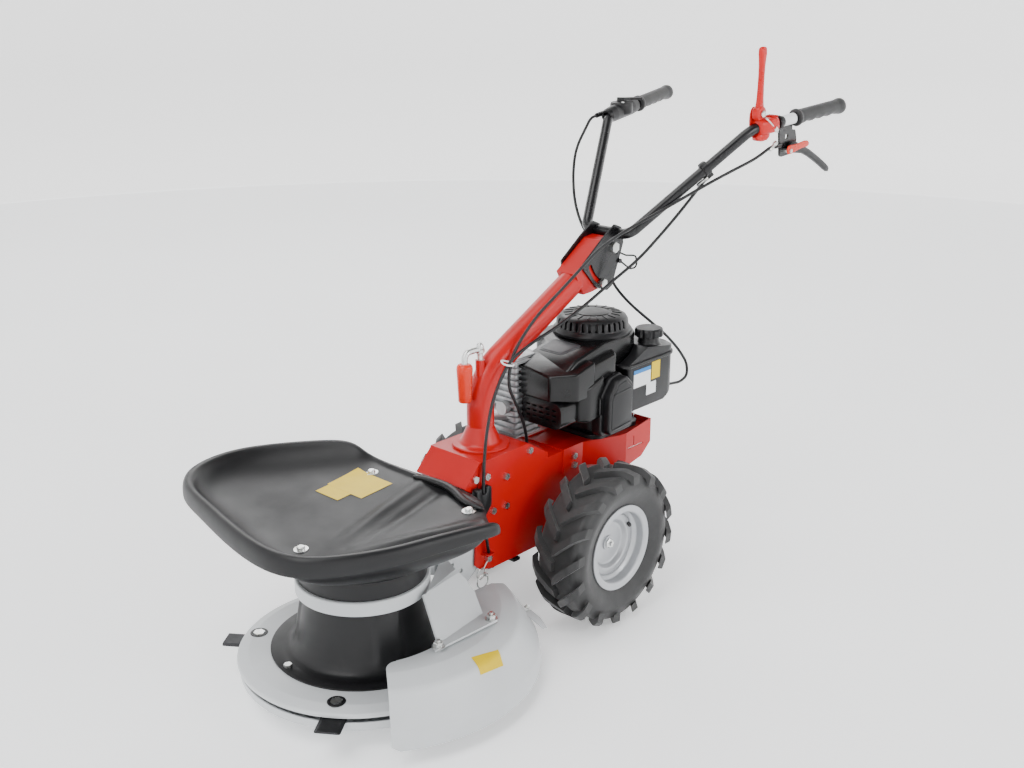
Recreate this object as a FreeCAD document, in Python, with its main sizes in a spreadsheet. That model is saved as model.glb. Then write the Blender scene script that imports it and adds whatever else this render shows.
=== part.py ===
"""Two-wheel walk-behind drum mower, as a parametric FreeCAD document.

Frame: +Z up, +X to the operator's left, +Y to the rear (towards the grips).
The origin is where the drum's axis meets the ground, in the middle of the
flat underside of the glide dish. Millimetres.

The driving dimensions are in the sheet Dims. Every separate piece of the
machine is one object with its own label, and its shape goes to one file.
"""
import FreeCAD, Part
import math
import os

import Sketcher
from FreeCAD import Placement, Rotation, Vector

SIZES = [
    # Fits and stock
    ("running_fit", 0.05, "radial play of a shaft in its bore"),
    ("seat_gap", 0.3, "play between pieces that touch but are not joined"),
    ("screw_radius", 3.9, "shank of the frame's screws"),
    ("frame_sheet", 3, "thickness of the folded frame sheet"),
    # Wheels
    ("axle_y", 486, "wheel axle behind the drum's axis"),
    ("tyre_radius", 165, "tyre over its lugs, also the height of the axle"),
    ("tyre_half_width", 58, "half the width over the lugs"),
    ("wheel_offset", 174, "middle of a tyre from the middle of the machine"),
    ("lug_height", 13, "height of a tread lug"),
    ("lug_width", 19, "thickness of a lug along the tread"),
    ("lug_lead", 57, "how far a lug runs round the tyre"),
    ("lug_count", 16, "lugs on each side of the tread"),
    ("tyre_wall", 8, "thickness of the tyre's casing"),
    ("rim_flange_radius", 88, "rim over its flanges"),
    ("rim_seat_radius", 76.2, "bead seat"),
    ("rim_half_width", 45, "half the width over the flanges"),
    ("rim_sheet", 3, "thickness of the rim sheet"),
    ("hub_radius", 15, "outside of the wheel hub"),
    ("axle_radius", 10, "wheel axle"),
    # Chassis
    ("frame_half_width", 68, "outer face of the side plates"),
    ("frame_front_y", 222, "front edge of the side plates"),
    ("frame_rear_y", 600, "rear edge of the side plates"),
    ("frame_bottom_z", 150, "lower edge of the side plates"),
    ("tower_top_z", 380, "top of the steering tower"),
    ("tower_front_y", 241, "front of the tower's top plate"),
    ("tower_rear_y", 376, "rear of the tower's top plate"),
    ("deck_front_y", 433, "front edge of the engine deck"),
    ("deck_z", 334, "top of the frame's deck"),
    ("subframe_half_width", 110, "outer face of the engine frame at the rear"),
    ("subframe_rear_y", 720, "rear end of the engine frame"),
    ("subframe_sheet", 3, "thickness of the engine frame"),
    # Gearbox
    ("gearcase_radius", 62, "gear case about the axle"),
    ("gearcase_half_width", 30, "half the width of the gear case"),
    ("axle_tube_radius", 26, "axle tube of the gear case"),
    ("axle_tube_end", 96, "end of the axle tube from the middle"),
    ("input_y", 536, "gearbox input shaft"),
    ("input_pulley_radius", 46, "input pulley over its rims"),
    # Steering column
    ("column_y", 311, "steering axis"),
    ("column_flange_radius", 56, "foot of the column"),
    ("column_radius", 26, "column tube"),
    ("column_bend_z", 515, "where the lines of the two tube runs cross"),
    ("column_bend_radius", 105, "bend of the column tube"),
    ("column_rise", 27.6, "slope of the rear run, in degrees"),
    ("column_pin_radius", 12, "pin of the column in the tower"),
    ("sleeve_radius", 9, "sleeve for the lock rod"),
    ("sleeve_top_z", 552, "top of the sleeve"),
    ("lock_rod_radius", 6, "lock rod"),
    ("lock_grip_y", 269, "middle of the lock grip"),
    ("lock_grip_radius", 12.5, "lock grip"),
    # Head of the column and handlebar
    ("tilt_y", 675, "tilt pivot of the handlebar"),
    ("tilt_z", 716, "tilt pivot of the handlebar"),
    ("tilt_bolt_radius", 7, "tilt bolt"),
    ("slot_radius", 77.4, "arc slot from the tilt pivot"),
    ("slot_sweep", 40, "angle that the bolt has in the slot, in degrees"),
    ("slot_angle", 243, "direction of the slot bolt from the tilt pivot, in degrees"),
    ("slot_bolt_radius", 5, "slot bolt"),
    ("head_half_width", 25.5, "head block of the column"),
    ("clamp_plate", 4, "thickness of a clamp plate"),
    ("bar_radius", 11, "handlebar tube"),
    ("bar_wall", 2, "wall of the handlebar tube"),
    ("bar_root_y", 693, "cross run of the handlebar"),
    ("bar_root_z", 742, "cross run of the handlebar"),
    ("bar_root_x", 56, "lower bend from the middle"),
    ("bar_bend_x", 187, "upper bend"),
    ("bar_bend_y", 927, "upper bend"),
    ("bar_bend_z", 945, "upper bend"),
    ("bar_end_x", 232, "end of the bar"),
    ("bar_end_y", 1216, "end of the bar"),
    ("bar_end_z", 975, "end of the bar"),
    ("grip_radius", 16, "hand grip over its rings"),
    ("grip_length", 156, "hand grip"),
    # Controls
    ("blade_pivot_y", 946, "pivot of the blade lever"),
    ("blade_pivot_rise", 28, "pivot of the blade lever above the bar"),
    ("blade_lever_reach", 134, "blade lever above its pivot"),
    ("lever_pin_radius", 4, "pins of the hand levers"),
    ("clutch_pivot_y", 1060, "pivot of the clutch lever"),
    ("clutch_pivot_z", 895, "pivot of the clutch lever"),
    ("clutch_lever_reach", 152, "clutch lever behind its pivot"),
    ("lock_pivot_y", 1027, "pivot of the safety lock"),
    ("throttle_y", 982, "middle of the throttle housing"),
    # Drum
    ("dish_flat_radius", 155, "flat underside of the glide dish"),
    ("dish_radius", 230, "glide dish"),
    ("dish_rim_z", 56, "top of the dish's rim"),
    ("dish_slope_z", 40, "where the dish's cone meets its rim"),
    ("dish_sheet", 3, "thickness of the dish"),
    ("spindle_radius", 17, "drum spindle"),
    ("disc_radius", 234, "knife disc"),
    ("disc_top_z", 80, "top of the knife disc"),
    ("disc_edge_z", 67, "lower edge of the knife disc"),
    ("disc_sheet", 5, "thickness of the knife disc"),
    ("blade_pivot_radius", 204, "blade bolts from the drum's axis"),
    ("blade_bolt_radius", 8, "shoulder of a blade bolt"),
    ("blade_top_z", 64, "top of a blade"),
    ("blade_sheet", 4, "thickness of a blade"),
    ("blade_width", 46, "width of a blade"),
    ("blade_tip_reach", 66, "tip of a blade from its bolt"),
    ("skirt_flange_radius", 173, "flange of the drum skirt"),
    ("skirt_foot_radius", 128, "drum skirt at its foot"),
    ("skirt_top_radius", 108.5, "drum skirt at its top"),
    ("skirt_top_z", 196.5, "top of the drum skirt"),
    ("skirt_wall", 4, "wall of the drum skirt"),
    ("collar_radius", 123, "collar of the mower frame"),
    ("collar_bottom_z", 197, "lower edge of the collar"),
    ("collar_top_z", 222.5, "top of the collar"),
    ("barrel_radius", 117, "barrel of the spindle housing"),
    ("barrel_top_z", 258, "top of the barrel"),
    ("housing_radius", 40, "spindle housing"),
    ("belt_z", 303, "middle of the drum belt"),
    ("belt_height", 13, "width of the belts, up the axis"),
    ("belt_depth", 8, "thickness of the belts"),
    ("drum_pulley_radius", 62, "drum pulley over its rims"),
    ("crank_pulley_radius", 40, "crank pulley over its rims"),
    ("drive_belt_z", 274, "middle of the drive belt"),
    ("arm_half_width", 62, "outer face of the mower frame's arms"),
    ("arm_bottom_z", 122, "lower edge of the arms"),
    ("coupling_y", 256, "coupling pin of the mower frame"),
    ("coupling_z", 178, "coupling pin of the mower frame"),
    ("coupling_radius", 7, "coupling pin"),
    ("tension_x", 8, "shaft of the drum belt's tension arm"),
    ("tension_y", 340, "shaft of the drum belt's tension arm"),
    ("tension_shaft_radius", 8, "shaft of the drum belt's tension arm"),
    ("idler_radius", 17, "idler of the drum belt"),
    ("arm_rear_y", 290, "rear end of the arms"),
    # Bowl cover
    ("bowl_bottom_radius", 125, "mouth of the bowl cover over the barrel"),
    ("bowl_lip_z", 371, "top of the bowl's lip"),
    ("bowl_lip_height", 27, "height of the rolled lip"),
    ("bowl_lip_width", 25, "width of the rolled lip on the left"),
    ("bowl_lip_roll", 9, "rounding of the rolled lip"),
    ("bowl_front", 253, "bowl ahead of the drum's axis"),
    ("bowl_left", 259, "bowl to the left"),
    ("bowl_right", 366, "bowl to the right"),
    ("bowl_rear", 177, "bowl behind the drum's axis"),
    ("bowl_floor_z", 336, "floor of the bowl at its rear edge"),
    ("bowl_fall", 0.07, "slope of the floor down to the front"),
    ("bowl_edge_z", 345, "rear edge of the bowl"),
    ("bowl_screw_x", 132, "rear screws of the bowl"),
    ("bowl_screw_y", 143, "screws of the bowl, behind and ahead of the axis"),
    ("bowl_screw_radius", 3.9, "screws of the bowl"),
    ("bowl_wall", 4, "wall of the bowl"),
    # Swath guard
    ("guard_centre_y", 33, "middle of the guard's curve"),
    ("guard_radius", 305, "foot of the guard"),
    ("guard_foot_z", 30, "lower edge of the guard"),
    ("guard_shoulder_radius", 265, "shoulder of the guard"),
    ("guard_shoulder_z", 120, "shoulder of the guard"),
    ("guard_top_z", 140, "top of the guard"),
    ("guard_inner_radius", 181, "inner edge of the guard from the drum's axis"),
    ("guard_sheet", 2.5, "thickness of the guard"),
    ("guard_start", -38, "front end of the guard, in degrees"),
    ("guard_sweep", 121, "angle of the guard, in degrees"),
    # Engine
    ("engine_y", 650, "crankshaft axis"),
    ("engine_base_z", 337, "foot of the engine"),
    ("crank_radius", 12.5, "crankshaft"),
    ("crankcase_half_width", 80, "crankcase"),
    ("crankcase_top_z", 452, "top of the crankcase"),
    ("cowl_radius", 88, "blower housing about the crankshaft"),
    ("cowl_top_z", 541, "top of the blower housing"),
    ("dome_radius", 76, "recoil cover"),
    ("dome_top_z", 578, "top of the recoil cover"),
    ("filter_face_x", 128, "outer face of the air filter cover"),
    ("filter_front", -105, "front of the air filter cover, from the crankshaft"),
    ("filter_rear", -22, "rear of the air filter cover, from the crankshaft"),
    ("filter_bottom_z", 356, "bottom of the air filter cover"),
    ("filter_top_z", 480, "top of the air filter cover"),
    ("tank_face_x", 112, "outer face of the fuel tank"),
    ("tank_front", -16, "front of the fuel tank, from the crankshaft"),
    ("tank_rear", 176, "rear of the fuel tank, from the crankshaft"),
    ("tank_bottom_z", 383, "bottom of the fuel tank"),
    ("tank_shell_z", 482, "lower edge of the fuel tank's top shell"),
    ("tank_top_z", 510, "top of the fuel tank at its front"),
    ("tank_fall", 0.155, "slope of the fuel tank's top"),
    ("cap_x", 80, "fuel cap"),
    ("cap_behind", 92, "fuel cap, from the crankshaft"),
    ("cap_height", 18, "grip of the fuel cap"),
    ("cap_top_z", 541, "top of the fuel cap"),
    ("cap_radius", 30.5, "fuel cap"),
    # Cables
    ("cable_radius", 3.2, "cable sheath"),
    ("blade_lug_z", 193, "top of the blade cable's lug on the frame"),
]

doc = FreeCAD.newDocument("brush_mower")
sheet = doc.addObject("Spreadsheet::Sheet", "Dims")
for row, (alias, number, note) in enumerate(SIZES, start=1):
    sheet.set("A{}".format(row), alias)
    sheet.set("B{}".format(row), str(number))
    sheet.set("C{}".format(row), note)
    sheet.setAlias("B{}".format(row), alias)
doc.recompute()


class Size:
    """A size worked out from the sheet: its expression and its present value."""

    def __init__(self, text, value):
        self.text = text
        self.value = float(value)

    def __float__(self):
        return self.value

    def _join(self, sign, other, value):
        return Size("({} {} {})".format(self.text, sign, other.text), value)

    def __add__(self, other):
        other = size(other)
        return self._join("+", other, self.value + other.value)

    def __sub__(self, other):
        other = size(other)
        return self._join("-", other, self.value - other.value)

    def __mul__(self, other):
        other = size(other)
        return self._join("*", other, self.value * other.value)

    def __truediv__(self, other):
        other = size(other)
        return self._join("/", other, self.value / other.value)

    def __radd__(self, other):
        return size(other) + self

    def __rsub__(self, other):
        return size(other) - self

    def __rmul__(self, other):
        return size(other) * self

    def __rtruediv__(self, other):
        return size(other) / self

    def __neg__(self):
        return size(0) - self


def size(value):
    """Return a plain number as a Size, and a Size as it is."""
    if isinstance(value, Size):
        return value
    return Size(repr(float(value)), value)


class Dims:
    """The sheet's sizes by name."""

    def __getattr__(self, name):
        return Size("Dims." + name, sheet.get(name))


D = Dims()
pieces = []


# ---------------------------------------------------------------- helpers

def bind(obj, path, value):
    """Drive one property of an object by a size."""
    obj.setExpression(path, size(value).text)


def at(x, y, z):
    """A point from three sizes or numbers."""
    return Vector(float(x), float(y), float(z))


def origin_feature(body, role):
    """A plane or axis of the body's own origin."""
    return next(f for f in body.Origin.OriginFeatures if f.Role == role)


def new_body(name, x=0, y=0, z=0, turn=None):
    """Start a piece: a body whose own origin stands at x, y, z."""
    body = doc.addObject("PartDesign::Body", name)
    body.Label = name
    if turn is not None:
        body.Placement = Placement(at(x, y, z), turn)
    for axis, value in (("x", x), ("y", y), ("z", z)):
        bind(body, "Placement.Base." + axis, value)
    pieces.append(body)
    return body


def new_sketch(body, name, role, offset=0, turn=None):
    """A sketch on one of the body's own planes, moved along its normal."""
    sketch = body.newObject("Sketcher::SketchObject", name)
    sketch.AttachmentSupport = (origin_feature(body, role), [""])
    sketch.MapMode = "FlatFace"
    if turn is not None:
        sketch.AttachmentOffset = Placement(Vector(0, 0, 0), turn)
    bind(sketch, "AttachmentOffset.Base.z", offset)
    return sketch


def locate(sketch, geometry, point, x, y):
    """Hold one point of the sketch at x, y from its origin."""
    for kind, value in (("DistanceX", x), ("DistanceY", y)):
        constraint = Sketcher.Constraint(kind, -1, 1, geometry, point, float(value))
        index = sketch.addConstraint(constraint)
        if isinstance(value, Size):
            sketch.setExpression("Constraints[{}]".format(index), value.text)


def set_radius(sketch, geometry, radius):
    """Give an arc or a circle its radius."""
    index = sketch.addConstraint(Sketcher.Constraint("Radius", geometry, float(radius)))
    if isinstance(radius, Size):
        sketch.setExpression("Constraints[{}]".format(index), radius.text)


def draw_circles(sketch, circles):
    """Draw circles, each (x, y, radius)."""
    for x, y, radius in circles:
        circle = sketch.addGeometry(Part.Circle(at(x, y, 0), Vector(0, 0, 1), float(radius)), False)
        locate(sketch, circle, 3, x, y)
        set_radius(sketch, circle, radius)


def draw_outline(sketch, corners):
    """Draw a closed outline of corners (x, y) or, where rounded, (x, y, radius)."""
    count = len(corners)
    points = [at(corner[0], corner[1], 0) for corner in corners]
    starts = []
    ends = []
    middles = []
    for i, corner in enumerate(corners):
        here = points[i]
        if len(corner) < 3:
            starts.append(here)
            ends.append(here)
            middles.append(None)
            continue
        back = (points[i - 1] - here).normalize()
        ahead = (points[(i + 1) % count] - here).normalize()
        half = back.getAngle(ahead) / 2
        radius = float(corner[2])
        centre = here + (back + ahead).normalize() * (radius / math.sin(half))
        starts.append(here + back * (radius / math.tan(half)))
        ends.append(here + ahead * (radius / math.tan(half)))
        middles.append(centre + (here - centre).normalize() * radius)
    lines = []
    for i in range(count):
        line = Part.LineSegment(ends[i], starts[(i + 1) % count])
        lines.append(sketch.addGeometry(line, False))
    for i, corner in enumerate(corners):
        line_in = lines[i - 1]
        line_out = lines[i]
        if middles[i] is None:
            sketch.addConstraint(Sketcher.Constraint("Coincident", line_in, 2, line_out, 1))
            locate(sketch, line_out, 1, corner[0], corner[1])
            continue
        arc = sketch.addGeometry(Part.Arc(starts[i], middles[i], ends[i]), False)
        turns_left = (points[i] - starts[i]).cross(ends[i] - points[i]).z > 0
        first, last = (1, 2) if turns_left else (2, 1)
        sketch.addConstraint(Sketcher.Constraint("Tangent", line_in, 2, arc, first))
        sketch.addConstraint(Sketcher.Constraint("Tangent", arc, last, line_out, 1))
        set_radius(sketch, arc, corner[2])
        apex = sketch.addGeometry(Part.Point(points[i]), True)
        sketch.addConstraint(Sketcher.Constraint("PointOnObject", apex, 1, line_in))
        sketch.addConstraint(Sketcher.Constraint("PointOnObject", apex, 1, line_out))
        locate(sketch, apex, 1, corner[0], corner[1])


def profile(body, name, role, corners=None, circles=(), offset=0, turn=None):
    """A sketch with an outline and circles on one of the body's planes."""
    sketch = new_sketch(body, name, role, offset, turn)
    if corners:
        draw_outline(sketch, corners)
    draw_circles(sketch, circles)
    return sketch


def feature(body, kind, name, sketch):
    """Add a feature that works on one sketch."""
    made = body.newObject("PartDesign::" + kind, name)
    made.Profile = sketch
    sketch.Visibility = False
    return made


def pad(body, sketch, length, name="Pad", both=False, reverse=False):
    """Raise a sketch, along its normal or half to each side."""
    made = feature(body, "Pad", name, sketch)
    made.SideType = "Symmetric" if both else "One side"
    made.Reversed = reverse
    bind(made, "Length", length)
    return made


def pocket(body, sketch, length=None, name="Pocket", both=False, reverse=False):
    """Cut a sketch out, through everything both ways where no length is given."""
    made = feature(body, "Pocket", name, sketch)
    made.Type = "ThroughAll" if length is None else "Length"
    made.SideType = "Symmetric" if both or length is None else "One side"
    made.Reversed = reverse
    if length is not None:
        bind(made, "Length", length)
    return made


def turn_profile(body, kind, name, sketch, axis, angle=360, both=False):
    """Revolve or groove a sketch about its own H_Axis or V_Axis."""
    made = feature(body, kind, name, sketch)
    made.ReferenceAxis = (sketch, [axis])
    made.Midplane = both
    bind(made, "Angle", angle)
    return made


def revolve(body, corners, role="XZ_Plane", axis="V_Axis", name="Turned"):
    """A turned piece: x is the radius for V_Axis and the length for H_Axis."""
    return turn_profile(body, "Revolution", name, profile(body, name + "Profile", role, corners), axis)


def groove(body, corners, role="XZ_Plane", axis="V_Axis", name="Groove", angle=360, both=False):
    """A turned cut."""
    sketch = profile(body, name + "Profile", role, corners)
    return turn_profile(body, "Groove", name, sketch, axis, angle, both)


def repeat_round(body, features, count, role, name="Repeat"):
    """Repeat features evenly about one of the body's own axes."""
    made = body.newObject("PartDesign::PolarPattern", name)
    made.Originals = features
    made.Axis = (origin_feature(body, role), [""])
    made.Angle = 360
    if isinstance(count, Size):
        bind(made, "Occurrences", count)
    made.Occurrences = int(float(count))
    body.Tip = made
    return made


def repeat_along(body, features, count, length, role, name="Repeat"):
    """Repeat features along one of the body's own axes."""
    made = body.newObject("PartDesign::LinearPattern", name)
    made.Originals = features
    made.Direction = (origin_feature(body, role), [""])
    bind(made, "Length", length)
    made.Occurrences = count
    body.Tip = made
    return made


def new_shape(name, shape):
    """A piece whose shape is worked out with Part's own functions."""
    made = doc.addObject("Part::Feature", name)
    made.Label = name
    made.Shape = shape
    made.Placement = Placement()
    pieces.append(made)
    return made


def rounded_path(points, radii):
    """Straight runs joined by tangent arcs: one radius for each inner point."""
    edges = []
    start = points[0]
    for before, here, after, radius in zip(points, points[1:], points[2:], radii):
        back = (before - here).normalize()
        ahead = (after - here).normalize()
        half = back.getAngle(ahead) / 2
        reach = radius / math.tan(half)
        centre = here + (back + ahead).normalize() * (radius / math.sin(half))
        first = here + back * reach
        last = here + ahead * reach
        middle = centre + (here - centre).normalize() * radius
        if (first - start).Length > 1e-6:
            edges.append(Part.LineSegment(start, first).toShape())
        edges.append(Part.Arc(first, middle, last).toShape())
        start = last
    edges.append(Part.LineSegment(start, points[-1]).toShape())
    return Part.Wire(edges)


def closed_wire(points, radii):
    """A closed wire through corners, each rounded as far as its two sides allow."""
    count = len(points)
    pieces_of_wire = []
    for i in range(count):
        here = points[i]
        back = points[i - 1] - here
        ahead = points[(i + 1) % count] - here
        room = 0.49 * min(back.Length, ahead.Length)
        back.normalize()
        ahead.normalize()
        half = back.getAngle(ahead) / 2
        radius = min(float(radii[i]), room * math.tan(half))
        if radius <= 0:
            pieces_of_wire.append((here, None, here))
            continue
        centre = here + (back + ahead).normalize() * (radius / math.sin(half))
        reach = radius / math.tan(half)
        middle = centre + (here - centre).normalize() * radius
        pieces_of_wire.append((here + back * reach, middle, here + ahead * reach))
    edges = []
    for i in range(count):
        start, middle, end = pieces_of_wire[i]
        if middle is not None:
            edges.append(Part.Arc(start, middle, end).toShape())
        edges.append(Part.LineSegment(end, pieces_of_wire[(i + 1) % count][0]).toShape())
    return Part.Wire(edges)


def turned(corners, axis):
    """A solid turned about an axis through the origin: (along or out, z[, radius])."""
    points = [at(corner[0], 0, corner[1]) for corner in corners]
    radii = [corner[2] if len(corner) > 2 else 0 for corner in corners]
    face = Part.Face(closed_wire(points, radii))
    return face.revolve(Vector(0, 0, 0), axis, 360)


def rod(path, radius):
    """A round rod along a path."""
    start = path.Edges[0].valueAt(path.Edges[0].FirstParameter)
    along = path.Edges[0].tangentAt(path.Edges[0].FirstParameter)
    ring = Part.Wire([Part.makeCircle(float(radius), start, along)])
    return path.makePipeShell([ring], True, False)


def hexagon_prism(centre, axis, across, height):
    """A hexagonal head standing on a point, along an axis."""
    corner = across / math.sqrt(3)
    points = []
    for i in range(7):
        angle = math.radians(60 * i)
        points.append(Vector(corner * math.cos(angle), corner * math.sin(angle), 0))
    head = Part.Face(Part.makePolygon(points)).extrude(Vector(0, 0, height))
    head.Placement = Placement(centre, Rotation(Vector(0, 0, 1), axis))
    return head


def bolt(seat, axis, radius, grip, across=0, head=0):
    """A bolt whose head stands on the seat and whose shank goes the other way."""
    radius = float(radius)
    across = across or 3.4 * radius
    head = head or 1.3 * radius
    shank = Part.makeCylinder(radius, float(grip), seat, axis * -1)
    return hexagon_prism(seat, axis, across, head).fuse(shank).removeSplitter()


def slab(points, thickness):
    """A flat panel with these corners, thickened along its normal."""
    thickness = float(thickness)
    face = Part.Face(Part.makePolygon(list(points) + [points[0]]))
    return face.extrude(face.normalAt(0, 0) * thickness)


def box(x, y, z):
    """A box between pairs of sizes."""
    low = at(x[0], y[0], z[0])
    high = at(x[1], y[1], z[1])
    return Part.makeBox(high.x - low.x, high.y - low.y, high.z - low.z, low)


def fuse(shapes):
    """Join shapes into one solid."""
    joined = shapes[0]
    for shape in shapes[1:]:
        joined = joined.fuse(shape)
    return joined.removeSplitter()


# ---------------------------------------------------------------- wheels

def tyre_shape():
    """A tractor-tread tyre: casing and two staggered rows of slanting lugs."""
    casing = D.tyre_radius - D.lug_height
    wide = D.tyre_half_width - 3
    bead = D.rim_half_width - D.rim_sheet - D.seat_gap
    seat = D.rim_seat_radius + D.seat_gap
    half = [
        (wide - 11, casing, 14),
        (wide, casing - 28, 24),
        (bead, seat + 14, 8),
        (bead, seat, 2.5),
        (bead - 10, seat),
        (bead - 10, seat + 15, 6),
        (wide - D.tyre_wall, casing - 28, 18),
        (wide - 16, casing - D.tyre_wall, 9),
    ]
    other = [(-corner[0],) + tuple(corner[1:]) for corner in reversed(half)]
    tyre = turned(half + other, Vector(1, 0, 0))
    edge = D.tyre_half_width
    base = casing - 6
    tread = turned([
        (0, base), (edge - 8, base), (edge, base - 12), (edge, casing + 2, 6), (edge - 18, D.tyre_radius, 20),
        (0, D.tyre_radius),
    ], Vector(1, 0, 0))
    lead = float(D.lug_lead) / 2
    thick = float(D.lug_width) / 2
    end = float(edge) + 4
    lean = [Vector(0, -lead - thick, 0), Vector(end, lead - thick, 0), Vector(end, lead + thick, 0),
            Vector(0, thick - lead, 0)]
    lug = Part.Face(Part.makePolygon(lean + lean[:1]))
    lug = lug.translated(at(0, 0, base - 14)).extrude(at(0, 0, D.lug_height + 40))
    lug = lug.common(tread)
    mirror = lug.mirror(Vector(0, 0, 0), Vector(1, 0, 0))
    count = int(float(D.lug_count))
    lugs = []
    for i in range(count):
        for shape, shift in ((lug, 0.0), (mirror, 0.5)):
            copy = shape.copy()
            copy.rotate(Vector(0, 0, 0), Vector(1, 0, 0), 360 * (i + shift) / count)
            lugs.append(copy)
    return tyre.multiFuse(lugs)


def build_tyres():
    """Both tyres, alike."""
    tyre = tyre_shape()
    for name, side in (("tyre_left", 1), ("tyre_right", -1)):
        new_shape(name, tyre).Placement = Placement(
            at(D.wheel_offset * side, D.axle_y, D.tyre_radius), Rotation())


def build_rim(name, turn):
    """A pressed rim: flanges, bead seats, well, ringed disc and hub."""
    side = -1 if turn else 1
    body = new_body(
        name, D.wheel_offset * side, D.axle_y, D.tyre_radius, Rotation(Vector(0, 0, 1), turn)
    )
    edge = D.rim_half_width
    seat = D.rim_seat_radius
    well = seat - 8
    wall = D.rim_sheet
    outer = [
        (edge, D.rim_flange_radius),
        (edge - wall, D.rim_flange_radius),
        (edge - wall, seat, 2),
        (edge - 17, seat, 4),
        (edge - 23, well, 4),
    ]
    inner = [
        (edge - 25, well - wall, 4),
        (edge - 19, seat - wall, 4),
        (edge, seat - wall, 5),
    ]
    mirror = [(-c[0],) + tuple(c[1:]) for c in reversed(outer)]
    mirror_inner = [(-c[0],) + tuple(c[1:]) for c in reversed(inner)]
    revolve(body, outer + mirror + mirror_inner + inner, axis="H_Axis", name="Barrel")
    bore = D.axle_radius + D.running_fit
    revolve(body, [
        (17, well - 1),
        (20, well - 6, 4),
        (20, 51, 5),
        (9, 44, 5),
        (9, D.hub_radius),
        (12, D.hub_radius),
        (12, bore),
        (-30, bore),
        (-30, D.hub_radius),
        (9 - wall, D.hub_radius),
        (9 - wall, 46, 5),
        (20 - wall, 53, 5),
        (20 - wall, well - 7, 4),
        (14, well - 1),
    ], axis="H_Axis", name="Disc")


def build_axle():
    """The wheel axle with the cross pin of each hub."""
    body = new_body("axle_shaft", 0, D.axle_y, D.tyre_radius)
    end = D.wheel_offset + 9
    revolve(body, [
        (-end, 0),
        (-end, D.axle_radius - 1),
        (-end + 1, D.axle_radius),
        (end - 1, D.axle_radius),
        (end, D.axle_radius - 1),
        (end, 0),
    ], axis="H_Axis", name="Shaft")


build_tyres()
build_rim("rim_left", 0)
build_rim("rim_right", 180)
build_axle()


# ---------------------------------------------------------------- chassis

def build_chassis_frame():
    """The folded frame: side plates, tower top, engine deck and sloping front flap."""
    body = new_body("chassis_frame")
    front = D.frame_front_y
    low = D.frame_bottom_z
    top = D.tower_top_z
    sheet_t = D.frame_sheet
    pad(body, profile(body, "Side", "YZ_Plane", [
        (D.tower_front_y, top),
        (front + 9, top - 64),
        (front, low + 22),
        (front + 17, low + 7),
        (front + 53, low),
        (D.frame_rear_y, low),
        (D.frame_rear_y, D.deck_z),
        (D.deck_front_y, D.deck_z),
        (D.deck_front_y, D.deck_z + 10),
        (D.tower_rear_y, top),
    ]), D.frame_half_width * 2, "Block", both=True)
    pocket(body, profile(body, "Hollow", "YZ_Plane", [
        (front - 20, low - 20),
        (D.frame_rear_y + 20, low - 20),
        (D.frame_rear_y + 20, D.deck_z - sheet_t),
        (D.deck_front_y, D.deck_z - sheet_t),
        (D.deck_front_y, top + 20),
        (D.tower_rear_y, top + 20),
        (D.tower_rear_y, top - sheet_t),
        (front - 20, top - sheet_t),
    ]), (D.frame_half_width - sheet_t) * 2, "Channel", both=True)
    flap = D.frame_half_width - 2
    pad(body, profile(body, "FlapSide", "YZ_Plane", [
        (D.tower_front_y + 3, top),
        (D.tower_front_y, top),
        (D.tower_front_y - 41, top - 42),
        (D.tower_front_y - 39, top - 45),
        (D.tower_front_y - 13, top - 62),
        (D.tower_front_y - 2, top - 6),
        (D.tower_front_y + 3, top - 6),
    ]), flap * 2, "Flap", both=True)
    pocket(body, profile(body, "FlapHollow", "YZ_Plane", [
        (D.tower_front_y + 1.3, top - sheet_t),
        (D.tower_front_y - 40, top - 45.2),
        (D.tower_front_y - 40, top - 70),
        (D.tower_front_y + 10, top - 70),
        (D.tower_front_y + 10, top - sheet_t),
    ]), (flap - sheet_t) * 2, "FlapChannel", both=True)
    pocket(body, profile(body, "SideHoles", "YZ_Plane", circles=[
        (D.axle_y, D.tyre_radius, D.axle_tube_radius + D.seat_gap),
        (D.coupling_y, D.coupling_z, D.coupling_radius + D.running_fit),
    ] + [(y, z, 4) for y, z in SIDE_BOLTS + SUBFRAME_BOLTS + FLAP_BOLTS]),
           name="SideDrill")
    pad(body, profile(body, "Shelf", "XY_Plane", [
        (sheet_t - D.frame_half_width, D.tension_y - 26), (D.frame_half_width - sheet_t, D.tension_y - 26),
        (D.frame_half_width - sheet_t, D.tension_y + 26), (sheet_t - D.frame_half_width, D.tension_y + 26),
    ], [(D.tension_x, D.tension_y, D.tension_shaft_radius + D.running_fit)], offset=236), 5, "Shelf")
    lug = D.frame_half_width
    pad(body, profile(body, "CableLug", "XY_Plane", [
        (lug - 1, 239), (lug + 18, 241, 5), (lug + 18, 259, 5), (lug - 1, 261),
    ], offset=D.blade_lug_z - 3), 3, "CableLugPlate")
    pocket(body, profile(body, "TopHoles", "XY_Plane", circles=[
        (0, D.column_y, D.column_pin_radius + D.running_fit),
    ]), name="TopDrill")
    pocket(body, profile(body, "DeckHole", "XY_Plane", [
        (-34, D.engine_y - 105, 12),
        (34, D.engine_y - 105, 12),
        (34, D.frame_rear_y + 20),
        (-34, D.frame_rear_y + 20),
    ], offset=D.deck_z - 6), 12, "DeckCut")


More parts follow.
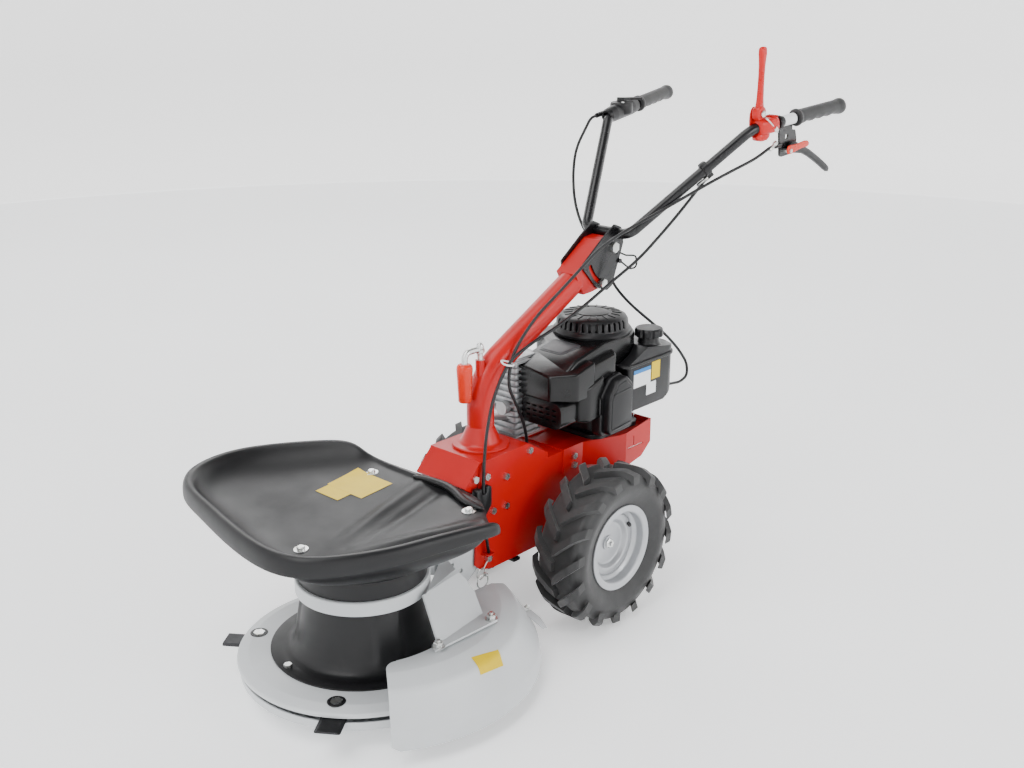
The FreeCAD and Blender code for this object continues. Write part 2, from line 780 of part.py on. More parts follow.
def build_engine_frame():
    """The rear frame under the engine: two cranked side plates and their deck."""
    wide = float(D.subframe_half_width)
    narrow = float(D.frame_half_width) + 0.05
    t = float(D.subframe_sheet)
    rear = float(D.subframe_rear_y)
    deck = float(D.deck_z)
    front = float(D.frame_rear_y) - 122
    knee = rear - 84
    top = deck + t
    outline = [(front, 284), (front, top), (knee - 18, top), (rear, 350), (rear, 298),
               (rear - 30, 273), (rear - 78, 264), (front + 80, 284)]
    wall = Part.Face(Part.makePolygon([Vector(-wide - 20, y, z) for y, z in outline + outline[:1]]))
    wall = wall.extrude(Vector(2 * wide + 40, 0, 0))
    plan = [(narrow, front - 1), (narrow, front + 62), (wide - t, knee), (wide - t, rear + 1),
            (wide, rear + 1), (wide, knee - 1), (narrow + t, front + 61), (narrow + t, front - 1)]
    plan = Part.Face(Part.makePolygon([Vector(x, y, 200) for x, y in plan + plan[:1]]))
    side = plan.extrude(Vector(0, 0, 250)).common(wall)
    floor = [(narrow + t, front), (narrow + t, front + 61), (wide, knee - 1), (wide, rear)]
    floor = floor + [(-x, y) for x, y in reversed(floor)]
    floor = Part.Face(Part.makePolygon([Vector(x, y, deck) for x, y in floor + floor[:1]]))
    floor = floor.extrude(Vector(0, 0, t))
    mirror = side.mirror(Vector(0, 0, 0), Vector(1, 0, 0))
    back = box((-wide, wide), (rear - t, rear), (298, 350))
    shape = fuse([side, mirror, floor, back])
    drop = Part.makeCylinder(float(D.crank_pulley_radius) + 8, 20, at(0, D.engine_y, deck - 8))
    shape = shape.cut(drop)
    shape = shape.cut(box((-34, 34), (front + 5, float(D.engine_y)), (deck - 8, deck + 12)))
    for y, z in SUBFRAME_BOLTS:
        shape = shape.cut(Part.makeCylinder(4, 300, Vector(-150, y, z), Vector(1, 0, 0)))
    slot_y = float(D.engine_y) + 11
    slots = fuse([
        box((-wide - 5, wide + 5), (slot_y - 20, slot_y + 33), (301, 303.4)),
        box((-wide - 5, wide + 5), (slot_y - 1.2, slot_y + 1.2), (302, 326)),
    ])
    new_shape("engine_frame", shape.cut(slots))


def build_gearbox():
    """The gear case about the axle, its axle tube and the tower of the input shaft."""
    body = new_body("gearbox_case", 0, D.axle_y, D.tyre_radius)
    case = D.gearcase_radius
    half = D.gearcase_half_width
    tube = D.axle_tube_radius
    end = D.axle_tube_end
    bore = D.axle_radius + D.running_fit
    revolve(body, [
        (-end, bore), (-end, tube), (-half - 6, tube, 4), (-half, case - 8), (-half + 8, case, 4),
        (half - 8, case, 4), (half, case - 8), (half + 6, tube, 4), (end, tube), (end, bore),
    ], axis="H_Axis", name="Case")
    offset = D.input_y - D.axle_y
    tower_top = D.drive_belt_z - 16 - D.tyre_radius
    pad(body, profile(body, "TowerOutline", "XY_Plane", circles=[(0, offset, 24)], offset=20),
        tower_top - 20, "Tower")
    pocket(body, profile(body, "InputBore", "XY_Plane", circles=[
        (0, offset, D.axle_radius + D.running_fit),
    ], offset=40), 200, "InputDrill", reverse=True)


def build_input_pulley():
    """The gearbox input shaft with its grooved pulley."""
    middle = D.drive_belt_z
    body = new_body("input_pulley", 0, D.input_y, 0)
    rim = D.input_pulley_radius
    half = D.belt_height / 2
    revolve(body, [
        (0, D.tyre_radius + 41), (D.axle_radius, D.tyre_radius + 41),
        (D.axle_radius, middle - half - 4), (rim, middle - half - 4), (rim, middle - half),
        (rim - D.belt_depth - 2, middle - half), (rim - D.belt_depth - 2, middle + half),
        (rim, middle + half), (rim, middle + half + 4), (D.axle_radius + 4, middle + half + 4),
        (D.axle_radius + 4, middle + half + 7), (0, middle + half + 7),
    ])


def belt(name, first, second, middle, outer_first, outer_second):
    """A V-belt round two pulleys: a flat loop between two tangent outlines."""
    half = float(D.belt_height) / 2
    depth = float(D.belt_depth)
    solids = []
    for shrink in (0, depth):
        r1 = float(outer_first) - shrink
        r2 = float(outer_second) - shrink
        y1 = float(first)
        y2 = float(second)
        span = y2 - y1
        lean = math.asin((r1 - r2) / span)
        a1 = Vector(r1 * math.cos(lean), y1 + r1 * math.sin(lean), 0)
        a2 = Vector(r2 * math.cos(lean), y2 + r2 * math.sin(lean), 0)
        b1 = Vector(-a1.x, a1.y, 0)
        b2 = Vector(-a2.x, a2.y, 0)
        loop = Part.Wire([
            Part.LineSegment(a1, a2).toShape(),
            Part.Arc(a2, Vector(0, y2 + r2, 0), b2).toShape(),
            Part.LineSegment(b2, b1).toShape(),
            Part.Arc(b1, Vector(0, y1 - r1, 0), a1).toShape(),
        ])
        solid = Part.Face(loop).extrude(Vector(0, 0, 2 * half - 1))
        solid.translate(Vector(0, 0, float(middle) - half + 0.5))
        solids.append(solid)
    new_shape(name, solids[0].cut(solids[1]))


def build_frame_bolts():
    """The hexagon screws of the frame, the guard and the mower frame."""
    shapes = []
    for side in (1, -1):
        x = float(D.frame_half_width) * side
        for y, z in SIDE_BOLTS:
            shapes.append(bolt(Vector(x, y, z), Vector(side, 0, 0), D.screw_radius, float(D.frame_sheet) + 5, 13, 5.5))
        x = (float(D.frame_half_width) + float(D.subframe_sheet) + 0.05) * side
        for y, z in SUBFRAME_BOLTS:
            shapes.append(bolt(Vector(x, y, z), Vector(side, 0, 0), D.screw_radius, float(D.frame_sheet) + 8, 13, 5.5))
        x = (float(D.frame_half_width) - 2) * side
        for y, z in FLAP_BOLTS:
            shapes.append(bolt(Vector(x, y, z), Vector(side, 0, 0), D.screw_radius, float(D.frame_sheet) + 5, 13, 5.5))
    seat = float(D.guard_top_z) + 4.02
    for x, y in GUARD_BOLTS:
        shapes.append(bolt(Vector(x, y, seat), Vector(0, 0, 1), D.screw_radius, 12, 13, 5.5))
    return shapes


SIDE_BOLTS = [(255, 348), (309, 332), (309, 271), (272, 272), (377, 366)]
SUBFRAME_BOLTS = [(510, 316), (510, 296)]
FLAP_BOLTS = [(226, 350)]
GUARD_BOLTS = [(195, 0), (196, 132)]

build_chassis_frame()
build_engine_frame()
build_gearbox()
build_input_pulley()
belt("drum_belt", 0, D.engine_y, D.belt_z, D.drum_pulley_radius - 1, D.crank_pulley_radius - 1)
belt("drive_belt", D.input_y, D.engine_y, D.drive_belt_z, D.input_pulley_radius - 1, D.crank_pulley_radius - 1)


# ---------------------------------------------------------------- steering column

def build_column():
    """The bent column: pin, foot, cone, tube bent to the rear, sleeve and head block."""
    body = new_body("steering_column", 0, D.column_y, 0)
    top = D.tower_top_z + D.seat_gap
    pin = D.column_pin_radius
    revolve(body, [
        (0, top - 42), (pin, top - 42), (pin, top), (D.column_flange_radius, top),
        (D.column_flange_radius, top + 5, 2), (D.column_radius + 14, top + 7, 8),
        (D.column_radius, top + 40), (D.column_radius, top + 45), (0, top + 45),
    ], name="Foot")
    spine = new_sketch(body, "SpineLine", "YZ_Plane")
    rise = math.radians(float(D.column_rise))
    radius = float(D.column_bend_radius)
    bend_z = float(D.column_bend_z)
    reach = radius * math.tan((math.pi / 2 - rise) / 2)
    start = Vector(0, float(D.tower_top_z) + 44, 0)
    first = Vector(0, bend_z - reach, 0)
    last = Vector(reach * math.cos(rise), bend_z + reach * math.sin(rise), 0)
    centre = Vector(radius, bend_z - reach, 0)
    middle = centre + ((first + last) * 0.5 - centre).normalize() * radius
    tail = 582 - float(D.column_y)
    end = Vector(tail, bend_z + tail * math.tan(rise), 0)
    spine.addGeometry(Part.LineSegment(start, first), False)
    spine.addGeometry(Part.Arc(first, middle, last), False)
    spine.addGeometry(Part.LineSegment(last, end), False)
    ring = profile(body, "TubeRing", "XY_Plane", circles=[(0, 0, D.column_radius + 0.8)],
                   offset=D.tower_top_z + 44)
    doc.recompute()
    tube = body.newObject("PartDesign::AdditivePipe", "Tube")
    tube.Profile = ring
    tube.Spine = (spine, ["Edge1", "Edge2", "Edge3"])
    doc.recompute()
    y0 = D.column_y
    pivot_y = D.tilt_y - y0
    pad(body, profile(body, "HeadOutline", "YZ_Plane", [
        (562 - y0, 677), (648 - y0, 733), (pivot_y + 3, D.tilt_z + 21, 17),
        (pivot_y + 21, D.tilt_z + 10, 14), (664 - y0, 640, 6), (612 - y0, 632, 12), (588 - y0, 631),
    ]), D.head_half_width * 2, "Head", both=True)
    pad(body, profile(body, "SleeveRing", "XY_Plane", circles=[(0, 0, D.sleeve_radius)],
                      offset=D.tower_top_z + 60), D.sleeve_top_z - D.tower_top_z - 60, "Sleeve")
    pocket(body, profile(body, "RodBore", "XY_Plane", circles=[
        (0, 0, D.lock_rod_radius + D.running_fit),
    ], offset=D.tower_top_z + 20), 300, "RodDrill", reverse=True)
    slot = math.radians(float(D.slot_angle))
    slot_y = pivot_y + float(D.slot_radius) * math.cos(slot)
    slot_z = D.tilt_z + float(D.slot_radius) * math.sin(slot)
    pocket(body, profile(body, "HeadHoles", "YZ_Plane", circles=[
        (pivot_y, D.tilt_z, D.tilt_bolt_radius + D.running_fit),
        (slot_y, slot_z, D.slot_bolt_radius + D.running_fit),
    ]), name="HeadDrill")


def build_clamp_bolts():
    """The tilt bolt and the slot bolt through the head, with heads and nuts."""
    outer = float(D.head_half_width) + float(D.clamp_plate) + 1.2
    shapes = []
    slot = math.radians(float(D.slot_angle))
    places = [
        (float(D.tilt_y), float(D.tilt_z), float(D.tilt_bolt_radius), 20),
        (float(D.tilt_y) + float(D.slot_radius) * math.cos(slot),
         float(D.tilt_z) + float(D.slot_radius) * math.sin(slot), float(D.slot_bolt_radius), 17),
    ]
    for y, z, radius, across in places:
        shank = Part.makeCylinder(radius, 2 * outer, Vector(-outer, y, z), Vector(1, 0, 0))
        left = hexagon_prism(Vector(outer, y, z), Vector(1, 0, 0), across, 8)
        right = hexagon_prism(Vector(-outer, y, z), Vector(-1, 0, 0), across, 8)
        shapes.append(fuse([shank, left, right]))
    new_shape("clamp_bolts", Part.Compound(shapes))


def build_lock():
    """The lock rod, cranked forward over the sleeve and down into its grip."""
    y = float(D.column_y)
    grip_y = float(D.lock_grip_y)
    points = [Vector(0, y, float(D.tower_top_z) + 24), Vector(0, y, 574), Vector(0, grip_y, 574),
              Vector(0, grip_y, 486)]
    new_shape("lock_rod", rod(rounded_path(points, [14, 14]), D.lock_rod_radius))
    body = new_body("lock_grip", 0, D.lock_grip_y, 0)
    r = D.lock_grip_radius
    rod_hole = D.lock_rod_radius + 0.02
    revolve(body, [
        (0, 477), (r - 3, 477, 2), (r - 1, 482), (r + 1, 500, 10), (r - 1, 520, 10), (r, 548, 6),
        (r - 1, 553), (rod_hole, 553), (rod_hole, 486), (0, 486),
    ])


build_column()
build_clamp_bolts()
build_lock()


# ---------------------------------------------------------------- cutting drum

def build_glide_dish():
    """The dish that glides on the ground: flat, cone, rounded rim and hub."""
    body = new_body("glide_dish")
    t = D.dish_sheet
    r = D.dish_radius
    revolve(body, [
        (0, 0), (D.dish_flat_radius, 0, 30), (r, D.dish_slope_z, 8),
        (r, D.dish_rim_z), (r - t, D.dish_rim_z), (r - t, D.dish_slope_z + 2, 6),
        (D.dish_flat_radius - 1, t, 30), (36, t), (36, 44), (D.spindle_radius + D.running_fit, 44),
        (D.spindle_radius + D.running_fit, t), (0, t),
    ], name="Dish")


def build_drum():
    """The turning drum: spindle with pulley, ribbed skirt, knife disc and bolts."""
    spindle = new_body("spindle_shaft")
    r = D.spindle_radius
    middle = D.belt_z
    half = D.belt_height / 2
    rim = D.drum_pulley_radius
    deep = rim - D.belt_depth - 2
    revolve(spindle, [
        (0, 8), (r, 8), (r, D.disc_top_z - D.disc_sheet), (D.housing_radius, D.disc_top_z - D.disc_sheet),
        (D.housing_radius, D.disc_top_z + 12, 3), (r + 6, D.disc_top_z + 12), (r, D.disc_top_z + 20),
        (r, middle - half - 5), (rim, middle - half - 5), (rim, middle - half), (deep, middle - half),
        (deep, middle + half), (rim, middle + half), (rim, middle + half + 5), (0, middle + half + 5),
    ], name="Spindle")

    disc = new_body("knife_disc")
    top = D.disc_top_z
    t = D.disc_sheet
    edge = D.disc_radius
    revolve(disc, [
        (D.housing_radius + 0.02, top), (edge - 22, top, 14), (edge, top - 7, 5), (edge, D.disc_edge_z),
        (edge - t, D.disc_edge_z), (edge - t - 1, top - 9, 3), (edge - 25, top - t, 10),
        (D.housing_radius + 0.02, top - t),
    ], name="Disc")
    swing = math.radians(-55)
    x = D.blade_pivot_radius * math.cos(swing)
    y = D.blade_pivot_radius * math.sin(swing)
    boss = pad(disc, profile(disc, "Boss", "XY_Plane", circles=[(x, y, 19)], offset=D.blade_top_z + 0.5),
               top - t - D.blade_top_z, "Boss")
    repeat_round(disc, [boss], 4, "Z_Axis", "Bosses")
    recess = pocket(disc, profile(disc, "Recess", "XY_Plane", circles=[(x, y, 15)], offset=top + 1), 5, "Recess")
    repeat_round(disc, [recess], 4, "Z_Axis", "Recesses")
    hole = pocket(disc, profile(disc, "BoltHole", "XY_Plane", circles=[(x, y, D.blade_bolt_radius)],
                                offset=top + 1), 40, "BoltHole")
    repeat_round(disc, [hole], 4, "Z_Axis", "BoltHoles")

    skirt = new_body("drum_skirt")
    foot = D.skirt_foot_radius
    wall = D.skirt_wall
    revolve(skirt, [
        (foot - 14, top), (D.skirt_flange_radius, top), (D.skirt_flange_radius, top + 3),
        (foot + 10, top + 5, 12), (foot, top + 26, 20), (D.skirt_top_radius, D.skirt_top_z),
        (D.skirt_top_radius - wall - 3, D.skirt_top_z), (foot - wall - 4, top + 24, 10),
        (foot - 14, top + 6),
    ], name="Skirt")
    turn = Rotation(Vector(0, 1, 0), 160)
    sketch = profile(skirt, "PanelProfile", "XZ_Plane", [
        (foot + 4, top + 36, 3), (D.skirt_top_radius + 14, D.skirt_top_z - 14, 3),
        (D.skirt_top_radius - 1.8, D.skirt_top_z - 14, 3), (foot - 4.2, top + 36, 3),
    ], turn=turn)
    panel = turn_profile(skirt, "Groove", "Panel", sketch, "V_Axis", 92, True)
    repeat_round(skirt, [panel], 3, "Z_Axis", "Panels")
    screw = math.radians(20)
    place = (D.skirt_flange_radius - 13) * math.cos(screw), (D.skirt_flange_radius - 13) * math.sin(screw)
    holes = pocket(skirt, profile(skirt, "ScrewHole", "XY_Plane", circles=[(place[0], place[1], 4)],
                                  offset=top + 20), 40, "ScrewHole")
    repeat_round(skirt, [holes], 3, "Z_Axis", "ScrewHoles")

    shapes = []
    for i in range(4):
        angle = math.radians(-55 + 90 * i)
        reach = float(D.blade_pivot_radius)
        x = reach * math.cos(angle)
        y = reach * math.sin(angle)
        low = float(D.blade_top_z) - float(D.blade_sheet) - 0.6
        head = hexagon_prism(Vector(x, y, float(top) - 4), Vector(0, 0, 1), 19, 6)
        radius = float(D.blade_bolt_radius) - 0.02
        shank = Part.makeCylinder(radius, float(top) - 4 - low, Vector(x, y, low))
        collar = Part.makeCylinder(13, 4, Vector(x, y, low - 4))
        shapes.append(fuse([head, shank, collar]))
    for i in range(3):
        angle = math.radians(20 + 120 * i)
        reach = float(D.skirt_flange_radius) - 13
        seat = Vector(reach * math.cos(angle), reach * math.sin(angle), float(top) + 4.1)
        shapes.append(bolt(seat, Vector(0, 0, 1), 3.9, 4, 13, 5))
    new_shape("drum_bolts", Part.Compound(shapes))


def build_blades():
    """Four free-swinging knives: bevelled at both edges, one end round its bolt."""
    half = D.blade_width / 2
    tip = D.blade_tip_reach
    for i in range(4):
        angle = -55 + 90 * i
        turn = Rotation(Vector(0, 0, 1), angle)
        radians = math.radians(angle)
        x = D.blade_pivot_radius * math.cos(radians)
        y = D.blade_pivot_radius * math.sin(radians)
        body = new_body("blade_{}".format(i + 1), x, y, D.blade_top_z - D.blade_sheet, turn)
        pad(body, profile(body, "Outline", "XY_Plane", [
            (-21, -half, 16), (tip, -half, 4), (tip, half, 4), (-21, half, 16),
        ], [(0, 0, D.blade_bolt_radius + D.running_fit)]), D.blade_sheet)
        for side in (1, -1):
            pocket(body, profile(body, "Bevel", "YZ_Plane", [
                (half * side + side, 0.8), (half * side + side, D.blade_sheet + 1),
                (half * side - 6.0 * side, D.blade_sheet + 1), (half * side - 6.0 * side, D.blade_sheet),
                (half * side, 0.8),
            ], offset=18), 80, "BevelCut", reverse=True)


def build_spindle_housing():
    """The fixed housing: bearing tube, top flange and the barrel under the bowl."""
    body = new_body("spindle_housing")
    bore = D.spindle_radius + D.running_fit
    r = D.housing_radius
    revolve(body, [
        (bore, 150), (r - 6, 150), (r, 158), (r, D.collar_top_z), (D.barrel_radius, D.collar_top_z),
        (D.barrel_radius, D.barrel_top_z), (D.barrel_radius - 4, D.barrel_top_z),
        (D.barrel_radius - 4, D.collar_top_z + 6), (r, D.collar_top_z + 6), (r - 4, D.barrel_top_z + 24),
        (bore, D.barrel_top_z + 24),
    ], name="Housing")


def build_mower_frame():
    """The white frame arm: collar over the drum, two side plates and a web."""
    body = new_body("mower_frame")
    low = D.collar_bottom_z
    top = D.collar_top_z
    r = D.collar_radius
    revolve(body, [
        (D.housing_radius + D.seat_gap, top), (D.housing_radius + D.seat_gap, top - 5), (r - 5, top - 5),
        (r - 5, low), (r, low), (r, top, 3),
    ], name="Collar")
    arm = D.arm_half_width
    low = D.arm_bottom_z
    rear = D.arm_rear_y
    pad(body, profile(body, "ArmOutline", "YZ_Plane", [
        (104, top), (104, D.collar_bottom_z, 4), (124, D.collar_bottom_z - 10, 8), (138, low, 10),
        (180, low, 8), (238, 163), (rear, 163), (rear, top),
    ], circles=[(190, 172, 5), (168, 192, 4), (150, 203, 5)]), arm * 2, "Arms", both=True)
    pocket(body, profile(body, "ArmChannel", "YZ_Plane", [
        (80, low - 20), (rear + 20, low - 20), (rear + 20, top - 5), (80, top - 5),
    ]), (arm - 5) * 2, "ArmChannel", both=True)
    pocket(body, profile(body, "ArmPinHole", "YZ_Plane", circles=[
        (D.coupling_y, D.coupling_z, D.coupling_radius + D.running_fit),
    ]), name="PinDrill")


def build_coupling_pin():
    """The pin that holds the mower frame in the chassis, with its spring clip."""
    end = float(D.frame_half_width) + 8
    y = float(D.coupling_y)
    z = float(D.coupling_z)
    pin = Part.makeCylinder(float(D.coupling_radius), 2 * end, Vector(-end, y, z), Vector(1, 0, 0))
    x = end - 4
    toward = Vector(0, -26, -32).normalize()
    centre = Vector(x, y, z) + toward * 34
    ring = Part.makeTorus(11, 1.3, centre, Vector(1, 0, 0))
    leg = Part.makeCylinder(1.3, 34, Vector(x, y, z) - toward * 10, toward)
    pin = pin.cut(Part.makeCylinder(1.32, 60, Vector(x, y, z) - toward * 30, toward))
    new_shape("coupling_pin", Part.Compound([pin, fuse([ring, leg])]))


build_glide_dish()
build_drum()
build_blades()
build_spindle_housing()
build_mower_frame()
build_coupling_pin()


# ---------------------------------------------------------------- bowl cover and guard

def bowl_outline(grow, right_grow, rear_grow):
    """The bowl's plan at the outside of its lip: wide to the right, straight behind."""
    front = D.bowl_front + grow
    left = D.bowl_left + grow
    right = D.bowl_right + right_grow
    rear = D.bowl_rear + rear_grow
    return [
        (left, 92, 8), (left * 0.86, -front * 0.09), (left * 0.8, -front * 0.4), (left * 0.63, -front * 0.73),
        (left * 0.44, -front * 0.95), (left * 0.15, -front), (-right * 0.22, -front * 0.92),
        (-right * 0.53, -front * 0.79), (-right * 0.79, -front * 0.71), (-right * 0.95, -front * 0.5),
        (-right, -front * 0.2), (-right * 0.965, front * 0.06), (-right * 0.8, front * 0.42),
        (-right * 0.62, rear), (-60, rear), (158, rear - 12, 8),
    ]


def bowl_ring(grow, z, share=0.0, right_grow=None, fall=0.0, rear_grow=None):
    """The plan outline at one height, drawn towards the mouth by a share and falling to the front."""
    corners = bowl_outline(size(grow), size(grow if right_grow is None else right_grow),
                           size(grow if rear_grow is None else rear_grow))
    mouth = float(D.bowl_bottom_radius) + grow
    points = []
    for corner in corners:
        point = at(corner[0], corner[1], 0)
        near = Vector(point).normalize() * mouth
        place = point * (1 - share) + near * share
        points.append(place + Vector(0, 0, float(z) + fall * (place.y - float(D.bowl_rear))))
    radii = []
    for index, corner in enumerate(corners):
        before = points[index - 1] - points[index]
        ahead = points[(index + 1) % len(points)] - points[index]
        eased = 0.46 * min(before.Length, ahead.Length) * math.tan(before.getAngle(ahead) / 2)
        radii.append(float(corner[2]) if len(corner) > 2 else eased)
    return closed_wire(points, radii)


def build_bowl():
    """The bowl cover: rolled lip, bowl above, skirt drawn in to a round mouth below."""
    lip_z = float(D.bowl_lip_z)
    mouth_z = float(D.barrel_top_z) + 0.3
    floor_z = float(D.bowl_floor_z)
    fall = float(D.bowl_fall)
    wall = float(D.bowl_wall)
    lip_low = lip_z - float(D.bowl_lip_height)
    inner = -float(D.bowl_lip_width)
    inner_right = inner * 1.5
    turns = [(-1.0, 0.0), (-0.38, 0.11), (0.0, 0.35), (0.0, 0.65), (-0.38, 0.89), (-1.0, 1.0)]
    roll = float(D.bowl_lip_roll)
    height = float(D.bowl_lip_height)
    outside = [bowl_ring(0, mouth_z, 1), bowl_ring(-roll, floor_z - 14, 0.14)]
    outside += [bowl_ring(out * roll, lip_low + up * height) for out, up in turns]
    hollow = [bowl_ring(inner - 12, floor_z, 0.1, inner_right - 20, fall, 0)]
    hollow += [bowl_ring(inner - out * roll, lip_low + up * height, 0, inner_right - out * roll)
               for out, up in turns[2:] + [(-1.0, 1.1)]]
    hollow = Part.makeLoft(hollow, True, True)
    under = Part.makeLoft([
        bowl_ring(inner - 12, floor_z - wall, 0.16, inner_right - 20, fall),
        bowl_ring(-wall, mouth_z - 1, 1),
    ], True, True)
    shape = Part.makeLoft(outside, True, True).cut(hollow).cut(under)
    behind = Part.Face(Part.makePolygon([
        Vector(-212, 0, 420), Vector(-210, 0, lip_z - 4), Vector(-160, 0, D.bowl_edge_z),
        Vector(180, 0, D.bowl_edge_z), Vector(180, 0, 420), Vector(-212, 0, 420),
    ])).extrude(Vector(0, 200, 0)).translated(Vector(0, 118, 0))
    left_end = Part.Face(Part.makePolygon([
        Vector(270, 103, 0), Vector(232, 72, 0), Vector(150, 138, 0), Vector(150, 330, 0),
        Vector(400, 330, 0), Vector(400, 103, 0), Vector(270, 103, 0),
    ])).extrude(Vector(0, 0, 120)).translated(Vector(0, 0, floor_z - 6))
    tunnel_top = float(bowl_floor(0, 60).z) - wall
    tunnel = Part.makeBox(116, 200, tunnel_top - 266, Vector(-58, 60, 266))
    shape = shape.cut([behind, left_end, tunnel])
    up = Vector(0, -fall, 1).normalize()
    for x, y in BOWL_SCREWS:
        hole = Part.makeCylinder(float(D.bowl_screw_radius) + 0.1, 60, bowl_floor(x, y) - up * 30, up)
        shape = shape.cut(hole)
    shape = max(shape.Solids, key=lambda solid: solid.Volume)
    new_shape("bowl_cover", shape.removeSplitter())


def bowl_floor(x, y):
    """A point on the bowl's sloping floor."""
    return at(x, y, D.bowl_floor_z + D.bowl_fall * (y - D.bowl_rear))


def build_bowl_screws():
    """The three button screws of the bowl, on broad washers."""
    up = Vector(0, -float(D.bowl_fall), 1).normalize()
    shapes = []
    for x, y in BOWL_SCREWS:
        seat = bowl_floor(x, y)
        washer = Part.makeCylinder(13, 1.6, seat, up)
        head = Part.makeCylinder(7.5, 5, seat + up * 1.6, up)
        rims = [edge for edge in head.Edges if edge.BoundBox.Center.distanceToPoint(seat + up * 6.6) < 1]
        head = head.makeFillet(2.4, rims)
        shank = Part.makeCylinder(float(D.bowl_screw_radius), 16, seat, up * -1)
        shapes.append(fuse([washer, head, shank]))
    return shapes


BOWL_SCREWS = [
    (D.bowl_screw_x, D.bowl_screw_y),
    (D.bowl_screw_x * -1, D.bowl_screw_y),
    (D.bowl_screw_x * 0, D.bowl_screw_y * -0.94),
]
build_bowl()


def build_guard():
    """The swath guard: a turned shell over the left of the drum, cut to the drum's circle."""
    body = new_body("swath_guard", 0, D.guard_centre_y, 0)
    t = D.guard_sheet
    foot = D.guard_radius
    shoulder = D.guard_shoulder_radius
    top = D.guard_top_z
    turn = Rotation(Vector(0, 1, 0), float(D.guard_start))
    sketch = profile(body, "Section", "XZ_Plane", [
        (foot, D.guard_foot_z), (foot - 5, D.guard_foot_z + 30, 20), (shoulder, D.guard_shoulder_z, 20),
        (shoulder - 36, top - 5, 12), (150, top), (150, top - t), (shoulder - 37, top - 5 - t, 10),
        (shoulder - 1.5, D.guard_shoulder_z - t, 18), (foot - 5 - t, D.guard_foot_z + 30, 18),
        (foot - t, D.guard_foot_z),
    ], turn=turn)
    turn_profile(body, "Revolution", "Shell", sketch, "V_Axis", D.guard_sweep)
    pocket(body, profile(body, "DrumCircle", "XY_Plane", circles=[
        (0, -D.guard_centre_y, D.guard_inner_radius),
    ]), name="DrumCut")
    pocket(body, profile(body, "FootHoles", "XY_Plane", circles=[
        (x, y - D.guard_centre_y, D.screw_radius + 0.1) for x, y in GUARD_BOLTS
    ]), name="FootDrill")
    arm = D.arm_half_width + D.seat_gap
    pocket(body, profile(body, "ArmSide", "XY_Plane", [
        (arm, 0), (arm, 400), (-400, 400), (-400, 0),
    ]), name="ArmCut")


def build_guard_bracket():
    """The bracket from the guard to the mower frame: foot, leaning web and top flange."""
    low = float(D.guard_top_z) + 0.02
    top = 208.0
    arm = float(D.arm_half_width)
    foot = slab([Vector(200, -12, low), Vector(206, 138, low), Vector(166, 146, low), Vector(184, -4, low)], 4)
    start = Vector(186, 6, low)
    along = Vector(-18, 130, 0)
    rise = Vector(-58, 20, top - low)
    shares = [(0, 0), (1, 0), (0.98, 0.5), (0.9, 0.78), (0.8, 1), (0, 1)]
    web = slab([start + along * a + rise * b for a, b in shares], 4)
    flange = slab([Vector(132, 33, top), Vector(105, 133, top), Vector(arm + 0.02, 152, top),
                   Vector(arm + 0.02, 135, top)], 4)
    ear = box((arm + 0.02, arm + 5), (126, 152), (184, top + 4))
    bracket = fuse([foot, web, flange, ear])
    for x, y in GUARD_BOLTS:
        bracket = bracket.cut(Part.makeCylinder(float(D.screw_radius) + 0.1, 40, Vector(x, y, low - 20)))
    return bracket


